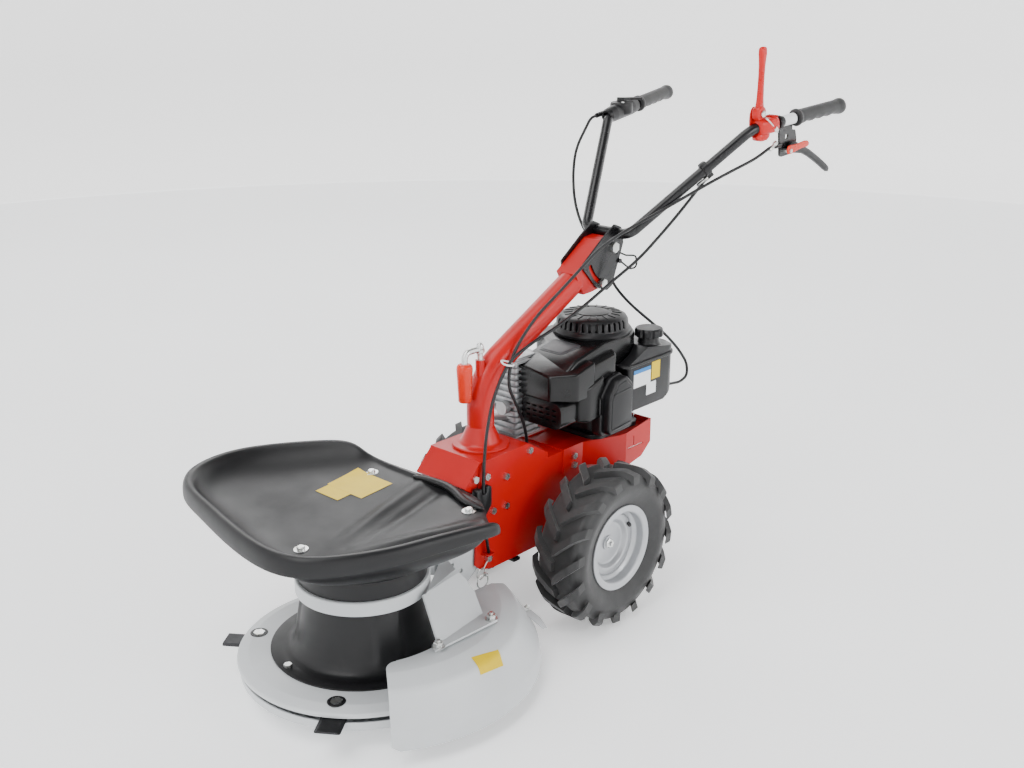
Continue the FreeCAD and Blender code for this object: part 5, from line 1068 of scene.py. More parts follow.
@dataclass
class BowlCover:
    """The moulded bowl: rolled lip on three sides, deep floor that runs up to the hood behind."""

    lip_top: float = 371.0
    lip_low: float = 346.0
    floor_rear: float = 336.0
    fall: float = 0.07
    rear: float = 177.0
    mouth_radius: float = 124.5
    mouth_low: float = 258.0
    wall: float = 4.0
    lip_spread: float = 0.017
    flat_share: float = 0.3
    # places along the outer edge, each with the share of its height that the lip has there
    edge: tuple[tuple[float, float, float], ...] = (
        (257, 98, 0.95), (238, 20, 1.0), (223, -30, 1.0), (207, -101, 1.0), (163, -185, 1.0),
        (114, -238, 1.0), (39, -251, 1.0), (-80, -232, 1.0), (-194, -202, 1.0), (-284, -182, 1.0),
        (-342, -130, 1.0), (-361, -51, 1.0), (-348, 18, 1.0), (-292, 106, 1.0), (-240, 168, 1.0),
        (-206, 178, 0.75), (-172, 186, 0.12), (-120, 196, 0.0), (-50, 199, 0.0), (40, 199, 0.0),
        (96, 198, 0.0), (150, 170, 0.0), (190, 126, 0.05), (236, 106, 0.55),
    )
    # start, end, half width and height of each moulded ridge; a valley has a height below zero
    ridges: tuple[tuple[float, float, float, float, float, float], ...] = (
        (-20, 166, 34, -78, 22, 6.0), (30, 162, 66, -30, 20, -5.0), (176, 112, 84, -74, 24, 6.5),
        (-130, 184, 110, 184, 11, 5.0),
    )
    ridge_depth: float = 2.5
    ridge_top: float = 14.0
    # shares of a ridge's run over which it rises and dies out again
    ridge_start: tuple[float, float] = (-0.25, 0.05)
    ridge_end: tuple[float, float] = (1.2, 0.5)
    ridge_fall: float = 2.2
    tunnel_middle: Point = (0.0, 160.0, 294.5)
    tunnel_size: Point = (116.0, 200.0, 57.0)
    # name, middle and size of each bare label on the floor
    labels: tuple[tuple[str, Point, tuple[float, float]], ...] = (
        ("bowl_label_large", (-112, 95, 331), (98, 78)), ("bowl_label_small", (-125, 40, 327), (64, 32)),
    )

    def floor_at(self, y: float) -> float:
        """Height of the sloping floor at a distance behind the drum."""
        return self.floor_rear + self.fall * (min(y, self.rear) - self.rear)

    def ring(self, inward: float, share: float, height: float) -> list[Vector]:
        """One ring of the shell.

        Args:
            inward: How far it stands in from the lip's outer edge.
            share: How far it is drawn in towards the mouth, from 0 to 1.
            height: Height above the floor, as a share of the lip's height.

        Returns:
            The ring's points.
        """
        points = []
        for x, y, lip in self.edge:
            out = Vector((x, y)) * (1 + self.lip_spread * lip)
            rim = out - out.normalized() * inward * (self.flat_share + (1 - self.flat_share) * lip)
            mouth = out.normalized() * self.mouth_radius
            place = rim.lerp(mouth, share)
            floor = self.floor_at(place.y)
            points.append(Vector((place.x, place.y, floor + (self.lip_top - floor) * height * lip)))
        return points

    def under(self, inward: float, share: float, height: float) -> list[Vector]:
        """One ring of the shell's outer side.

        Args:
            inward: How far it stands in from the lip's outer edge.
            share: How far it is drawn in towards the mouth, from 0 to 1.
            height: Its height in millimetres where the lip stands.

        Returns:
            The ring's points.
        """
        points = []
        for inner, (_, _, lip) in zip(self.ring(inward, share, 0.0), self.edge):
            open_edge = self.floor_at(inner.y) - self.wall
            level = height * lip + min(height, open_edge) * (1 - lip)
            points.append(Vector((inner.x, inner.y, level)))
        return points

    def circle(self, radius: float, height: float) -> list[Vector]:
        """A round ring whose points face those of the lip."""
        return [Vector((*(Vector((x, y)).normalized() * radius), height)) for x, y, _ in self.edge]

    def floor_ring(self, share: float) -> list[Vector]:
        """A ring on the bowl's floor, inside the mouth."""
        edge = [(spot.x * share, spot.y * share) for spot in self.ring(38, 1.0, 0.0)]
        return [Vector((x, y, self.floor_at(y))) for x, y in edge]

    def below_floor(self, radius: float) -> list[Vector]:
        """A round ring one wall under the sloping floor."""
        return [Vector((p.x, p.y, self.floor_at(p.y) - self.wall)) for p in self.circle(radius, 0)]

    def shell_rings(self) -> list[list[Vector]]:
        """Give the shell's rings: down inside the mouth, out under the lip, over it and in along the floor.

        Returns:
            The rings in order, each a closed row of points.
        """
        inside = self.mouth_radius - self.wall
        outer_side = (
            (34, 0.56, 278), (31, 0.3, 296), (30, 0.1, 316), (30, 0.01, 333), (30, 0.0, 344), (29, 0.0, 350),
            (25, 0.0, 352), (15, 0.0, 347), (5, 0.0, self.lip_low),
        )
        inner_side = (
            (0, 0.0, 0.36), (0, 0.0, 0.76), (5, 0.0, 0.97), (13, 0.0, 1.0), (22, 0.0, 0.95),
            (29, 0.0, 0.76), (34, 0.03, 0.56), (36, 0.13, 0.34), (38, 0.29, 0.15), (38, 0.5, 0.04),
            (38, 0.7, 0.0), (38, 1.0, 0.0),
        )
        return [
            self.below_floor(50), self.below_floor(108), self.circle(inside, 296),
            self.circle(inside, self.mouth_low), self.circle(self.mouth_radius, self.mouth_low),
            self.circle(self.mouth_radius, self.mouth_low + self.wall),
            *(self.under(*station) for station in outer_side),
            *(self.ring(*station) for station in inner_side),
            *(self.floor_ring(share) for share in (0.84, 0.68, 0.52, 0.36, 0.2)),
        ]

    def build(self) -> None:
        """Model the shell, the ridge behind it and its labels."""
        self.build_shell()
        self.build_rear_ridge()
        for name, centre, size in self.labels:
            film(name, Finish.YELLOW_FILM, centre, (1, 0, 0), (0, 1, 0), size, "bowl_shell")

    def build_shell(self) -> None:
        """Model the shell with its ridges, open behind where the drum's arm comes in."""
        shell = skin("bowl_shell", self.shell_rings())
        add_modifier(shell, "SUBSURF", {"levels": 3, "render_levels": 3})
        for vertex in shell.data.vertices:
            place = vertex.co / MM
            if -self.ridge_depth < place.z - self.floor_at(place.y) < self.ridge_top:
                vertex.co.z += self.ridge_height(place) * MM
        carve(shell, block("tunnel", self.tunnel_middle, self.tunnel_size))
        shade(shell, 50)
        dress(shell, Finish.POLYETHYLENE, "chassis", ["bowl_cover"])

    def build_rear_ridge(self) -> None:
        """Model the low ridge where the floor meets the hood."""
        ridge = limb("bowl_rear_ridge", [
            (-52, 178, 338, 2, 2), (-46, 178, 339, 6, 4), (-20, 180, 342, 8.5, 6), (20, 182, 343, 9, 6.5),
            (48, 180, 343, 9, 6.5), (78, 170, 341, 8.5, 6), (104, 158, 339.5, 8, 5.5),
            (128, 160, 338.5, 8, 5), (146, 160, 338, 6, 4), (151, 160, 337, 2, 2),
        ], (0.2, 1, 0), 24, 2.2)
        add_modifier(ridge, "SUBSURF", {"levels": 1, "render_levels": 1})
        dress(ridge, Finish.POLYETHYLENE, "chassis")

    def ridge_height(self, place: Vector) -> float:
        """Height that the moulded ridges add at a place of the floor.

        Args:
            place: The place, in millimetres.

        Returns:
            The height, below zero in a valley.
        """
        height = 0.0
        for x1, y1, x2, y2, wide, tall in self.ridges:
            start, end = Vector((x1, y1)), Vector((x2, y2))
            run = end - start
            spot = place.xy - start
            share = spot.dot(run) / run.length_squared
            aside = (spot - run * share).length
            fade = ramp(share, *self.ridge_start) * ramp(share, *self.ridge_end)
            height += tall * fade * math.exp(-((aside / wide) ** 2) * self.ridge_fall)
        return height


@dataclass
class CuttingHead:
    """The guard, the drum's skirt and the small parts on the cutting head."""

    centre_y: float = 33.0
    sheet: float = 2.5
    low: float = 30.0
    outside: float = 305.0
    front_angle: float = -38.0
    rear_angle: float = 83.0
    sectors: int = 44
    corner: float = 22.0
    foot_corner: float = 9.0
    drum_room: float = 181.0
    # middle and size of the gap that is cut out of the guard for the drum's arm
    arm_room: tuple[Point, Point] = ((30.0, 330.0, 100.0), (120.0, 300.0, 300.0))
    blade_reach: float = 204.0
    blade_angle: float = -55.0
    blade_height: float = 80.0
    skirt_sides: int = 180
    rib_angle: float = 101.0
    rib_height: float = 4.4
    rib_half: float = 9.0
    rib_fade: float = 8.0
    # heights between which the ribs grow out of the skirt and sink back into it
    rib_foot: tuple[float, float] = (94.0, 110.0)
    rib_head: tuple[float, float] = (194.0, 184.0)
    guard_bolt_places: tuple[tuple[float, float], ...] = ((195.0, 0.0), (196.0, 132.0))
    seat: float = 144.0
    pin_ring_middle: Point = (81.5, 229.0, 142.0)
    pin_ring_radius: float = 15.0
    pin_ring_points: int = 14

    def section(self, drop: float, offset: float) -> list[tuple[float, float]]:
        """The guard's section, from the skirt's foot to the inner edge of its top.

        Args:
            drop: How much of the foot is cut away at the ends.
            offset: How far the line lies inside the outer face.

        Returns:
            Radius and height at each point.
        """
        return rounded([
            (self.outside - offset, self.low + drop), (300 - offset, 60 + drop * 0.6, 20),
            (265 - offset * 0.8, 120 - offset * 0.6, 22), (229 - offset * 0.3, 135 - offset, 14),
            (150, 140 - offset),
        ], 7)

    def build(self) -> None:
        """Model the guard, the drum's skirt, the fastenings, the ring pin and the guard's tail."""
        self.build_guard()
        self.build_drum()
        self.build_fastenings()
        self.build_pin()
        self.build_tail()

    def build_guard(self) -> None:
        """Model the pressed guard: a skirt that rolls into its top, with rounded ends."""
        rings = []
        for step in range(self.sectors + 1):
            turn = (self.rear_angle - self.front_angle) * step / self.sectors
            angle = math.radians(self.front_angle + turn)
            arc = abs(angle - math.radians(self.front_angle)) * self.outside
            away = max(0.0, 1 - arc / self.foot_corner)
            drop = self.foot_corner * (1 - math.sqrt(max(0.0, 1 - away ** 2)))
            outline = self.section(drop, 0.0) + self.section(drop, self.sheet)[::-1]
            rings.append([
                Vector((radius * math.cos(angle), self.centre_y + radius * math.sin(angle), height))
                for radius, height in outline
            ])
        guard = skin("guard_shell", rings)
        begin()
        bpy.ops.mesh.primitive_cylinder_add(
            vertices=96, radius=self.drum_room * MM, depth=300 * MM, location=(0, 0, 100 * MM),
        )
        carve(guard, named("drum_room"))
        carve(guard, block("arm_room", *self.arm_room))
        carve(guard, self.corner_cutter())
        soften(guard, 0.6, 2, 50)
        dress(shade(guard, 40), Finish.WHITE_COAT, "chassis", ["swath_guard"])
        across, up = (0.2, 0.97, 0.0), (-0.62, 0.1, 0.78)
        film("guard_label", Finish.YELLOW_FILM, (262, 60, 122), across, up, (62, 44), "guard_shell")

    def corner_cutter(self) -> bpy.types.Object:
        """Model the cutter that rounds the front corner, where the guard's end meets the drum.

        Returns:
            The cutter.
        """
        angle = math.radians(self.front_angle)
        along = Vector((math.cos(angle), math.sin(angle)))
        lever = self.centre_y * along.y
        reach = -lever + math.sqrt(lever ** 2 - self.centre_y ** 2 + self.drum_room ** 2)
        corner = Vector((0, self.centre_y)) + along * reach
        inward = corner.normalized()
        round_side = Vector((-inward.y, inward.x))
        front = Vector((along.y, -along.x))
        leg, clear = 60, 20
        outline = rounded([
            tuple(corner + along * leg), (*corner, self.corner), tuple(corner + round_side * leg),
        ], 8)[1:-1]
        outside = [
            corner + round_side * leg / 2 - inward * clear, corner + (front - inward) * clear,
            corner + along * leg / 2 + front * clear,
        ]
        loop = outline + [(spot.x, spot.y) for spot in outside]
        return skin("corner_cutter", [[Vector((x, y, z)) for x, y in loop] for z in (100, 170)])

    def build_drum(self) -> None:
        """Model the drum's moulded skirt with its three raised ribs, and the seats of the blade bolts."""
        outer = [
            (172.4, 80.2), (173, 81), (173, 82.6), (172, 83.4), (150, 84.2), (142, 85.2), (136.5, 88),
            (132.6, 93), (129.6, 100), (127.4, 108), (124.5, 126), (121, 146), (117.4, 166), (113.6, 182),
            (109.6, 192), (107.6, 195.6), (105.4, 196.5),
        ]
        inner = [
            (102, 195.6), (101.8, 190), (110, 166), (117, 126), (119.4, 104), (118, 96), (114, 84),
            (114, 80.2),
        ]
        rings = []
        for index, (radius, height) in enumerate(outer + inner + outer[:1]):
            ribbed = 3 < index < len(outer)
            rise = ramp(height, *self.rib_foot) * ramp(height, *self.rib_head)
            sunk = self.rib_height * rise if ribbed else 0.0
            ring = []
            for side in range(self.skirt_sides):
                angle = 360 * side / self.skirt_sides
                apart = abs((angle - self.rib_angle + 60) % 120 - 60)
                share = ramp(apart, self.rib_half, self.rib_half + self.rib_fade)
                reach = radius - sunk * share * share * (3 - 2 * share)
                turn = math.radians(angle)
                ring.append(Vector((reach * math.cos(turn), reach * math.sin(turn), height)))
            rings.append(ring)
        skirt = skin("drum_shell", rings, (False, False))
        merge_doubles(skirt)
        dress(shade(face_out(skirt), 40), Finish.POLYETHYLENE, "drum", ["drum_skirt"])
        for index in range(4):
            angle = math.radians(self.blade_angle + 90 * index)
            reach = self.blade_reach
            place = (reach * math.cos(angle), reach * math.sin(angle), self.blade_height)
            seat = turned(f"blade_seat_{index + 1}", [
                (16.4, -0.3), (16.4, 0.6), (15.8, 1.1), (11.4, 1.1), (10.8, 0.4),
            ], place, sides=40)
            dress(shade(seat, 30), Finish.SATIN_ABS, "drum")

    def build_fastenings(self) -> None:
        """Model the washers and flanged nuts that hold the guard on its bracket."""
        washer = [(11.5, -0.4), (12, 0), (12, 1.6), (11.4, 2.0), (6, 2.0)]
        nut = [(8.6, 1.8), (9.2, 2.4), (9.2, 8.5), (8.0, 10), (4.6, 10.2), (4.6, 13.4), (3.8, 14.2)]
        for index, (x, y) in enumerate(self.guard_bolt_places):
            plated(f"guard_washer_{index + 1}", washer, (x, y, self.seat), (0, 0, 1), 40)
            plated(f"guard_nut_{index + 1}", nut, (x, y, self.seat), (0, 0, 1), 6, crease=25)

    def build_pin(self) -> None:
        """Model the ring pin that locks the drum's arm."""
        x, y, z = self.pin_ring_middle
        radius = self.pin_ring_radius
        ring = []
        for step in range(self.pin_ring_points):
            angle = 2 * math.pi * step / self.pin_ring_points
            ring.append((x, y + radius * math.cos(angle), z + radius * math.sin(angle)))
        dress(bent_rod("pin_ring", ring, 1.7, True), Finish.ZINC, "chassis")
        stem = [(1.0, -2), (3.4, -1.4), (4.0, 0), (4.0, 7), (2.6, 9), (1.0, 9.4)]
        plated("ring_pin", stem, (79, 236, 154), (1, 0, 0), 20, crease=40)

    def build_tail(self) -> None:
        """Model the guard's bent tail behind the arm, and its screw."""
        sections = (
            ((148, 262, 88), (152, 290, 82), (150, 290, 80), (146, 262, 86)),
            ((180, 262, 84), (184, 282, 80), (182, 282, 78), (178, 262, 82)),
            ((212, 258, 77), (214, 268, 75), (213, 268, 73), (211, 258, 75)),
        )
        tail = skin("guard_tail", [[Vector(spot) for spot in section] for section in sections])
        dress(soften(tail, 0.6, 2), Finish.WHITE_COAT, "chassis")
        screw = [(6.4, -1), (6.8, 0), (6.8, 1.4), (4.6, 1.8), (4.6, 6), (3.8, 7)]
        plated("guard_tail_screw", screw, (150, 279, 90), (0.2, 0.5, 0.84), 6, crease=25)


@dataclass
class Hood:
    """Small parts on the red frame and the column: the lock's grip, the cables' clamp and their tie."""

    grip_y: float = 269.0
    rod_y: float = 311.0

    def build(self) -> None:
        """Model the lock's grip and nut, the cables' tie and the block that clamps them."""
        self.build_lock()
        self.build_tie()
        self.build_clamp()

    def build_lock(self) -> None:
        """Model the lock's grip with its rounded top, and the cap nut on the rod."""
        grip = turned("lock_handle", [
            (8, 477), (11.6, 478), (12.8, 480), (13.0, 490), (14.0, 510), (15.2, 532), (15.8, 543),
            (15.2, 548), (13.2, 551.6), (9.6, 553), (4, 553),
        ], (0, self.grip_y, 0), sides=56)
        dress(shade(grip, 60), Finish.ORANGE_NYLON, "column_lock", ["lock_grip"])
        foot = (0, self.rod_y, 0)
        nut = turned("rod_cap_nut", [(8.6, 566), (9.4, 567), (9.4, 573), (8.2, 574.4)], foot, sides=6)
        cap = turned("cap", [(7.2, 574), (7.2, 578), (6.4, 582), (4.4, 585), (1.6, 586.4)], foot, sides=32)
        dress(shade(join("rod_nut", [nut, cap]), 30), Finish.ZINC, "column_lock")

    def build_tie(self) -> None:
        """Model the tie that holds the cables to the column."""
        tie = bent_rod("cable_tie", [
            (30, 338, 548), (44, 332, 546), (54, 344, 543), (46, 358, 541), (31, 360, 543), (22, 348, 547),
        ], 1.8, True)
        dress(tie, Finish.WHITE_FILM, "steering")

    def build_clamp(self) -> None:
        """Model the forked block that clamps the cables to the hood's side."""
        fork = raised("cable_clamp_block", Plane.SIDE, [
            (214, 270, 5), (232, 270, 5), (254, 296, 6), (254, 335, 5), (240, 335, 3), (240, 322, 4),
            (228, 322, 4), (228, 335, 3), (214, 335, 5),
        ], 70, 84)
        dress(soften(fork, 1.6), Finish.SATIN_ABS, "chassis")


@dataclass
class Engine:
    """Moulded covers round the engine, its tank and its small parts."""

    axis_y: float = 650.0
    cowl_low: float = 452.0
    cowl_top: float = 541.0
    blower_room: float = 89.0
    panel_slope: float = 10.8
    slot_start: float = -118.0
    slot_pitch: float = 10.5
    slots: int = 13
    dome_ribs: int = 18
    filter_middle_z: float = 418.0
    # name, finish, middle and size of each bare label on the tank
    labels: tuple[tuple[str, Finish, Point, tuple[float, float]], ...] = (
        ("tank_label_white", Finish.WHITE_FILM, (112, 680, 448), (58, 30)),
        ("tank_label_blue", Finish.BLUE_FILM, (112, 680, 467), (58, 8.5)),
        ("tank_label_yellow", Finish.YELLOW_FILM, (112, 727, 458), (29, 38)),
        ("tank_label_small", Finish.WHITE_FILM, (112, 712, 421), (33, 26)),
    )

    def build(self) -> None:
        """Model every cover and fitting."""
        self.build_cowl()
        self.build_recoil()
        self.build_filter()
        self.build_muffler_guard()
        self.build_tank()
        self.build_exhaust()
        self.build_linkage()

    def moulding(
        self, name: str, finish: Finish, outline: Sequence[Sequence[float]], span: tuple[float, float],
        cuts: Sequence[tuple[Point, Point]] = (), edge: tuple[float, int] = (6, 4), steps: int = 8,
        blower: bool = False, stands_for: Sequence[str] = (),
    ) -> None:
        """Model one moulded cover of the engine.

        Args:
            name: The piece's name.
            finish: Its finish.
            outline: Its outline seen from above, with radii where it is round.
            span: Its foot and its top.
            cuts: Planes beyond which it is cut away, each a place and a normal.
            edge: Width of its rounded edges, and faces across them.
            steps: Points on each round corner of the outline.
            blower: Whether room for the blower's round housing is cut out of it.
            stands_for: Solids of the construction model that it takes the place of.
        """
        cover = raised(name, Plane.PLAN, outline, *span, steps)
        for place, normal in cuts:
            slice_off(cover, place, normal)
        if blower:
            wall = [(self.blower_room, 300), (self.blower_room, 600)]
            carve(cover, turned("blower_room", wall, (0, self.axis_y, 0), sides=64))
        dress(soften(cover, *edge), finish, "chassis", stands_for)

    def build_cowl(self) -> None:
        """The glossy blower housing with its lobes, its deck and a bare plate."""
        y0, glossy = self.axis_y, Finish.GLOSSY_ABS
        self.moulding("cowl_shell", glossy, [
            (-88, y0 - 88, 40), (-88, y0 + 88, 87), (83, y0 + 88, 78), (86, y0 - 196, 26),
            (-30, y0 - 200, 26), (-38, y0 - 108, 24),
        ], (self.cowl_low, self.cowl_top), [
            ((0, y0 - 60, self.cowl_top), (0, -0.19, 1)), ((0, y0 - 150, 524), (0, -0.62, 1)),
        ], (7, 4), 10, stands_for=["blower_housing"])
        self.moulding("cowl_front_lobe", glossy, [
            (-30, y0 - 208, 16), (66, y0 - 212, 12), (107, y0 - 176, 16), (107, y0 - 118, 6),
            (-30, y0 - 118, 4),
        ], (447, 522), [((0, y0 - 150, 521), (0.1, -0.24, 1))])
        self.moulding("cowl_duct", glossy, [
            (60, y0 - 158, 24), (110, y0 - 158, 26), (110, y0 - 92, 6), (60, y0 - 92, 6),
        ], (396, 500), [((0, y0 - 130, 500), (0.25, -0.3, 1))])
        self.moulding("cowl_deck", glossy, [
            (44, y0 - 150, 10), (105, y0 - 150, 14), (105, y0 - 46, 16), (60, y0 - 26, 10), (44, y0 - 40, 6),
        ], (470, 524), [((80, y0 - 60, 522), (0.14, -0.12, 1))], steps=6)
        hinge = y0 - 146
        frame = [(-22, hinge, 8), (40, hinge, 8), (52, y0 - 92, 8), (-24, y0 - 92, 8)]
        face = [(-17, y0 - 142, 5), (36, y0 - 142, 5), (46, y0 - 96, 5), (-19, y0 - 96, 5)]
        plates = (("cowl_panel", frame, 2.4, 523.3, 0.7), ("cowl_panel_face", face, 0.8, 525.8, 0.3))
        for name, outline, thickness, lift, edge in plates:
            plate = raised(name, Plane.PLAN, outline, 0, thickness)
            plate.data.transform(turned_about((0, hinge, 0), (1, 0, 0), self.panel_slope))
            plate.data.transform(shifted(0, 0, lift))
            dress(soften(plate, edge, 2), Finish.GREY_ABS, "chassis")

    def about_axis(self, piece: bpy.types.Object, angle: float) -> bpy.types.Object:
        """Turn a piece made at the origin and set it on the engine's axis.

        Args:
            piece: The piece.
            angle: The turn in degrees.

        Returns:
            The piece.
        """
        piece.data.transform(Matrix.Rotation(math.radians(angle), 4, "Z"))
        piece.data.transform(shifted(0, self.axis_y, 0))
        return piece

    def build_recoil(self) -> None:
        """The recoil starter's dome, with slots round its front and left side, and ribs on top."""
        dome = turned("recoil_dome", [
            (83, 538), (84, 544), (80, 549), (77, 551), (76, 556), (75, 566), (71, 572.5), (63, 576.5),
            (40, 579), (38, 577.5), (36, 577.5), (34, 579.5), (14, 580.3),
        ], (0, self.axis_y, 0), sides=72)
        for index in range(self.slots):
            cutter = block("slot_cutter", (72, 0, 562), (22, 5.5, 17.5))
            carve(dome, self.about_axis(cutter, self.slot_start + self.slot_pitch * index))
        soften(dome, 0.8, 2, 35)
        dress(dome, Finish.SATIN_ABS, "chassis", ["recoil_cover"])
        for index in range(self.dome_ribs):
            rib = raised(f"recoil_rib_{index + 1:02d}", Plane.FRONT, [
                (41, 577.4), (61, 575.8), (61, 578.2, 1), (41, 580.2, 1),
            ], -1.5, 1.5, 3)
            self.about_axis(rib, 360 / self.dome_ribs * index)
            dress(soften(rib, 0.5, 2), Finish.SATIN_ABS, "chassis")

    def build_filter(self) -> None:
        """The air filter's cover: a stepped rim, a flat face with a chamfered corner, bars and a clip."""
        y1, y2 = self.axis_y - 107, self.axis_y - 20
        outline = [
            (y1, 364, 14), (y1 + 6, 356, 6), (y2, 358, 10), (y2, 458, 10), (y2 - 24, 481, 8),
            (y1 + 30, 476, 26), (y1 + 2, 440, 26),
        ]
        middle_y, middle_z = (y1 + y2) / 2, self.filter_middle_z
        layers = (
            ("filter_shell", (1.0, 1.0, 0), (88, 112), (3, 3, 30), ["air_filter_cover"]),
            ("filter_lid", (0.9, 0.93, 3), (108, 129), (4, 4, 50), []),
            ("filter_face", (0.74, 0.8, 4), (120, 130.2), (1.2, 3, 50), []),
        )
        for name, (along, tall, shift), span, edge, stands_for in layers:
            drawn_in = [
                (middle_y + (y - middle_y) * along + shift, middle_z + (z - middle_z) * tall, radius)
                for y, z, radius in outline
            ]
            layer = raised(name, Plane.SIDE, drawn_in, *span)
            dress(soften(layer, *edge), Finish.SATIN_ABS, "chassis", stands_for)
        for index, low in enumerate((374, 448)):
            high = low + 2.4
            bar = raised(f"filter_bar_{index + 1}", Plane.SIDE, [
                (y1 + 22, low - 4, 1), (y2 - 9, low, 1), (y2 - 9, high, 1), (y1 + 22, high - 4, 1),
            ], 128, 131.4, 3)
            dress(soften(bar, 0.8, 2), Finish.SATIN_ABS, "chassis")
        clip = raised("filter_clip", Plane.FRONT, [
            (100, 404, 2), (114, 404, 3), (114, 438, 3), (108, 444, 2), (100, 438, 2),
        ], y1 - 5, y1 + 4, 4)
        dress(soften(clip, 1.4), Finish.GLOSSY_ABS, "chassis")

    def build_muffler_guard(self) -> None:
        """The rounded guard in front of the silencer, with rows of short slots."""
        front = self.axis_y - 206
        guard = raised("silencer_guard", Plane.FRONT, [
            (-13, 391, 14), (92, 391, 18), (92, 446, 18), (-13, 446, 14),
        ], front, self.axis_y - 82)
        for row in range(3):
            for column in range(5):
                carve(guard, block("slot_cutter", (5 + 17 * column, front, 408 + 11 * row), (10, 12, 3.2)))
        soften(guard, 5, 4, 60)
        dress(guard, Finish.GLOSSY_ABS, "chassis", ["muffler_guard"])

    def build_tank(self) -> None:
        """The fuel tank: two shells with a flange between them, a neck, and plain labels."""
        y1, y2 = self.axis_y - 16, self.axis_y + 176
        satin = Finish.SATIN_ABS
        self.moulding("tank_lower_shell", satin, [
            (97, y1, 5), (112, y1, 10), (112, y2 - 38, 34), (60, y2 - 3, 40), (-28, y2 - 22, 30),
            (-28, y2 - 74, 6),
        ], (383, 483), [
            ((0, y2 - 66, 383), (0, 0.52, -1)), ((0, y2 - 14, 410), (0, 1.5, -1)),
        ], (5, 4), blower=True, stands_for=["fuel_tank"])
        self.moulding("tank_flange", satin, [
            (62, y1 - 14, 12), (116, y1 - 14, 18), (116, y2 - 36, 38), (62, y2 + 1, 44), (-31, y2 - 18, 30),
            (-31, y2 - 72, 6),
        ], (480, 487), edge=(2.2, 3), blower=True)
        self.moulding("tank_upper_shell", satin, [
            (65, y1 - 11, 10), (113, y1 - 11, 16), (113, y2 - 38, 36), (60, y2 - 3, 42), (-27, y2 - 21, 30),
            (-27, y2 - 72, 6),
        ], (484, 524), [
            ((0, y1 + 72, 512), (0, 0.155, 1)), ((0, y1 + 58, 512), (0, -0.42, 1)),
        ], (7, 4), blower=True)
        neck = turned("tank_neck", [
            (32, 494), (30, 502), (25, 507), (23, 512), (21, 524),
        ], (80, 742, 0), sides=40)
        dress(shade(neck, 60), satin, "chassis")
        for name, finish, centre, size in self.labels:
            film(name, finish, centre, (0, 1, 0), (0, 0, 1), size, "tank_lower_shell")
        clip = turned("cable_end_clip", [
            (3.5, 0), (6.5, 1), (6.5, 11), (5.2, 12.6), (3.2, 13),
        ], (78, 803.5, 393.8), (0, 1, 0), 24)
        dress(shade(clip), satin, "chassis")

    def build_exhaust(self) -> None:
        """The exhaust's elbow beside the cylinder."""
        elbow = bent_rod("exhaust_elbow", [
            (-30, 448, 399), (-44, 430, 399), (-66, 416, 398), (-84, 418, 397), (-94, 430, 396),
        ], 13)
        dress(elbow, Finish.CASTING, "chassis")
        collar = turned("exhaust_flange", [
            (13.5, 0), (22, 0.6), (22, 5), (14, 6),
        ], (-94, 424, 396.2), (-0.5, 0.86, 0.0), 36)
        dress(soften(collar, 0.8, 2), Finish.CASTING, "chassis")

    def build_linkage(self) -> None:
        """The governor's linkage, below the tank and behind the filter."""
        carrier = raised("linkage_block", Plane.SIDE, [
            (632, 352, 3), (648, 352, 3), (656, 364, 4), (656, 381, 4), (640, 386, 4), (632, 378, 3),
        ], 84, 104, 3)
        dress(soften(carrier, 1.6), Finish.SATIN_ABS, "chassis")
        for index, (y, z, radius) in enumerate(((640, 368, 4.2), (650, 358, 3.4), (637, 382, 3.2))):
            head = [(radius, 0), (radius, 3), (radius - 1, 4.2)]
            plated(f"linkage_screw_{index + 1}", head, (104, y, z), (1, 0, 0), 12)
        wire = bent_rod("linkage_wire", [
            (103, 633, 388), (108, 640, 391), (109, 650, 388), (107, 662, 378), (101, 668, 366),
        ], 1.3)
        dress(wire, Finish.ZINC, "chassis")


@dataclass
class Wheels:
    """Small parts of the two wheels; the valve's foot is given from the axle's middle."""

    axle_y: float = 486.0
    axle_z: float = 165.0
    nut_x: float = 184.0
    valve_foot: Point = (178.0, 58.0, 32.0)

    def build(self) -> None:
        """Model the axle nut, its washer and the valve of both wheels."""
        nut = [(9.5, -3), (11, -2), (11, 5), (8.5, 7), (5.5, 7.2), (5.5, 12), (3, 13)]
        washer = [(16, -5.5), (17, -5), (17, -3.4), (16, -3)]
        stem = [(5.2, -4), (5.2, 2), (3.6, 5), (3.4, 18), (4, 18.5), (4, 25), (3, 26.5)]
        x, y, z = self.valve_foot
        for name, side in (("left", 1), ("right", -1)):
            centre, out = (side * self.nut_x, self.axle_y, self.axle_z), (side, 0, 0)
            plated(f"axle_nut_{name}", nut, centre, out, 6, "wheel_set", 25)
            plated(f"axle_washer_{name}", washer, centre, out, 32, "wheel_set")
            foot = (side * x, self.axle_y + y, self.axle_z + z)
            valve = turned(f"valve_{name}", stem, foot, (side * 0.9, -0.35, -0.2), 16)
            dress(shade(valve), Finish.GRIP, "wheel_set")


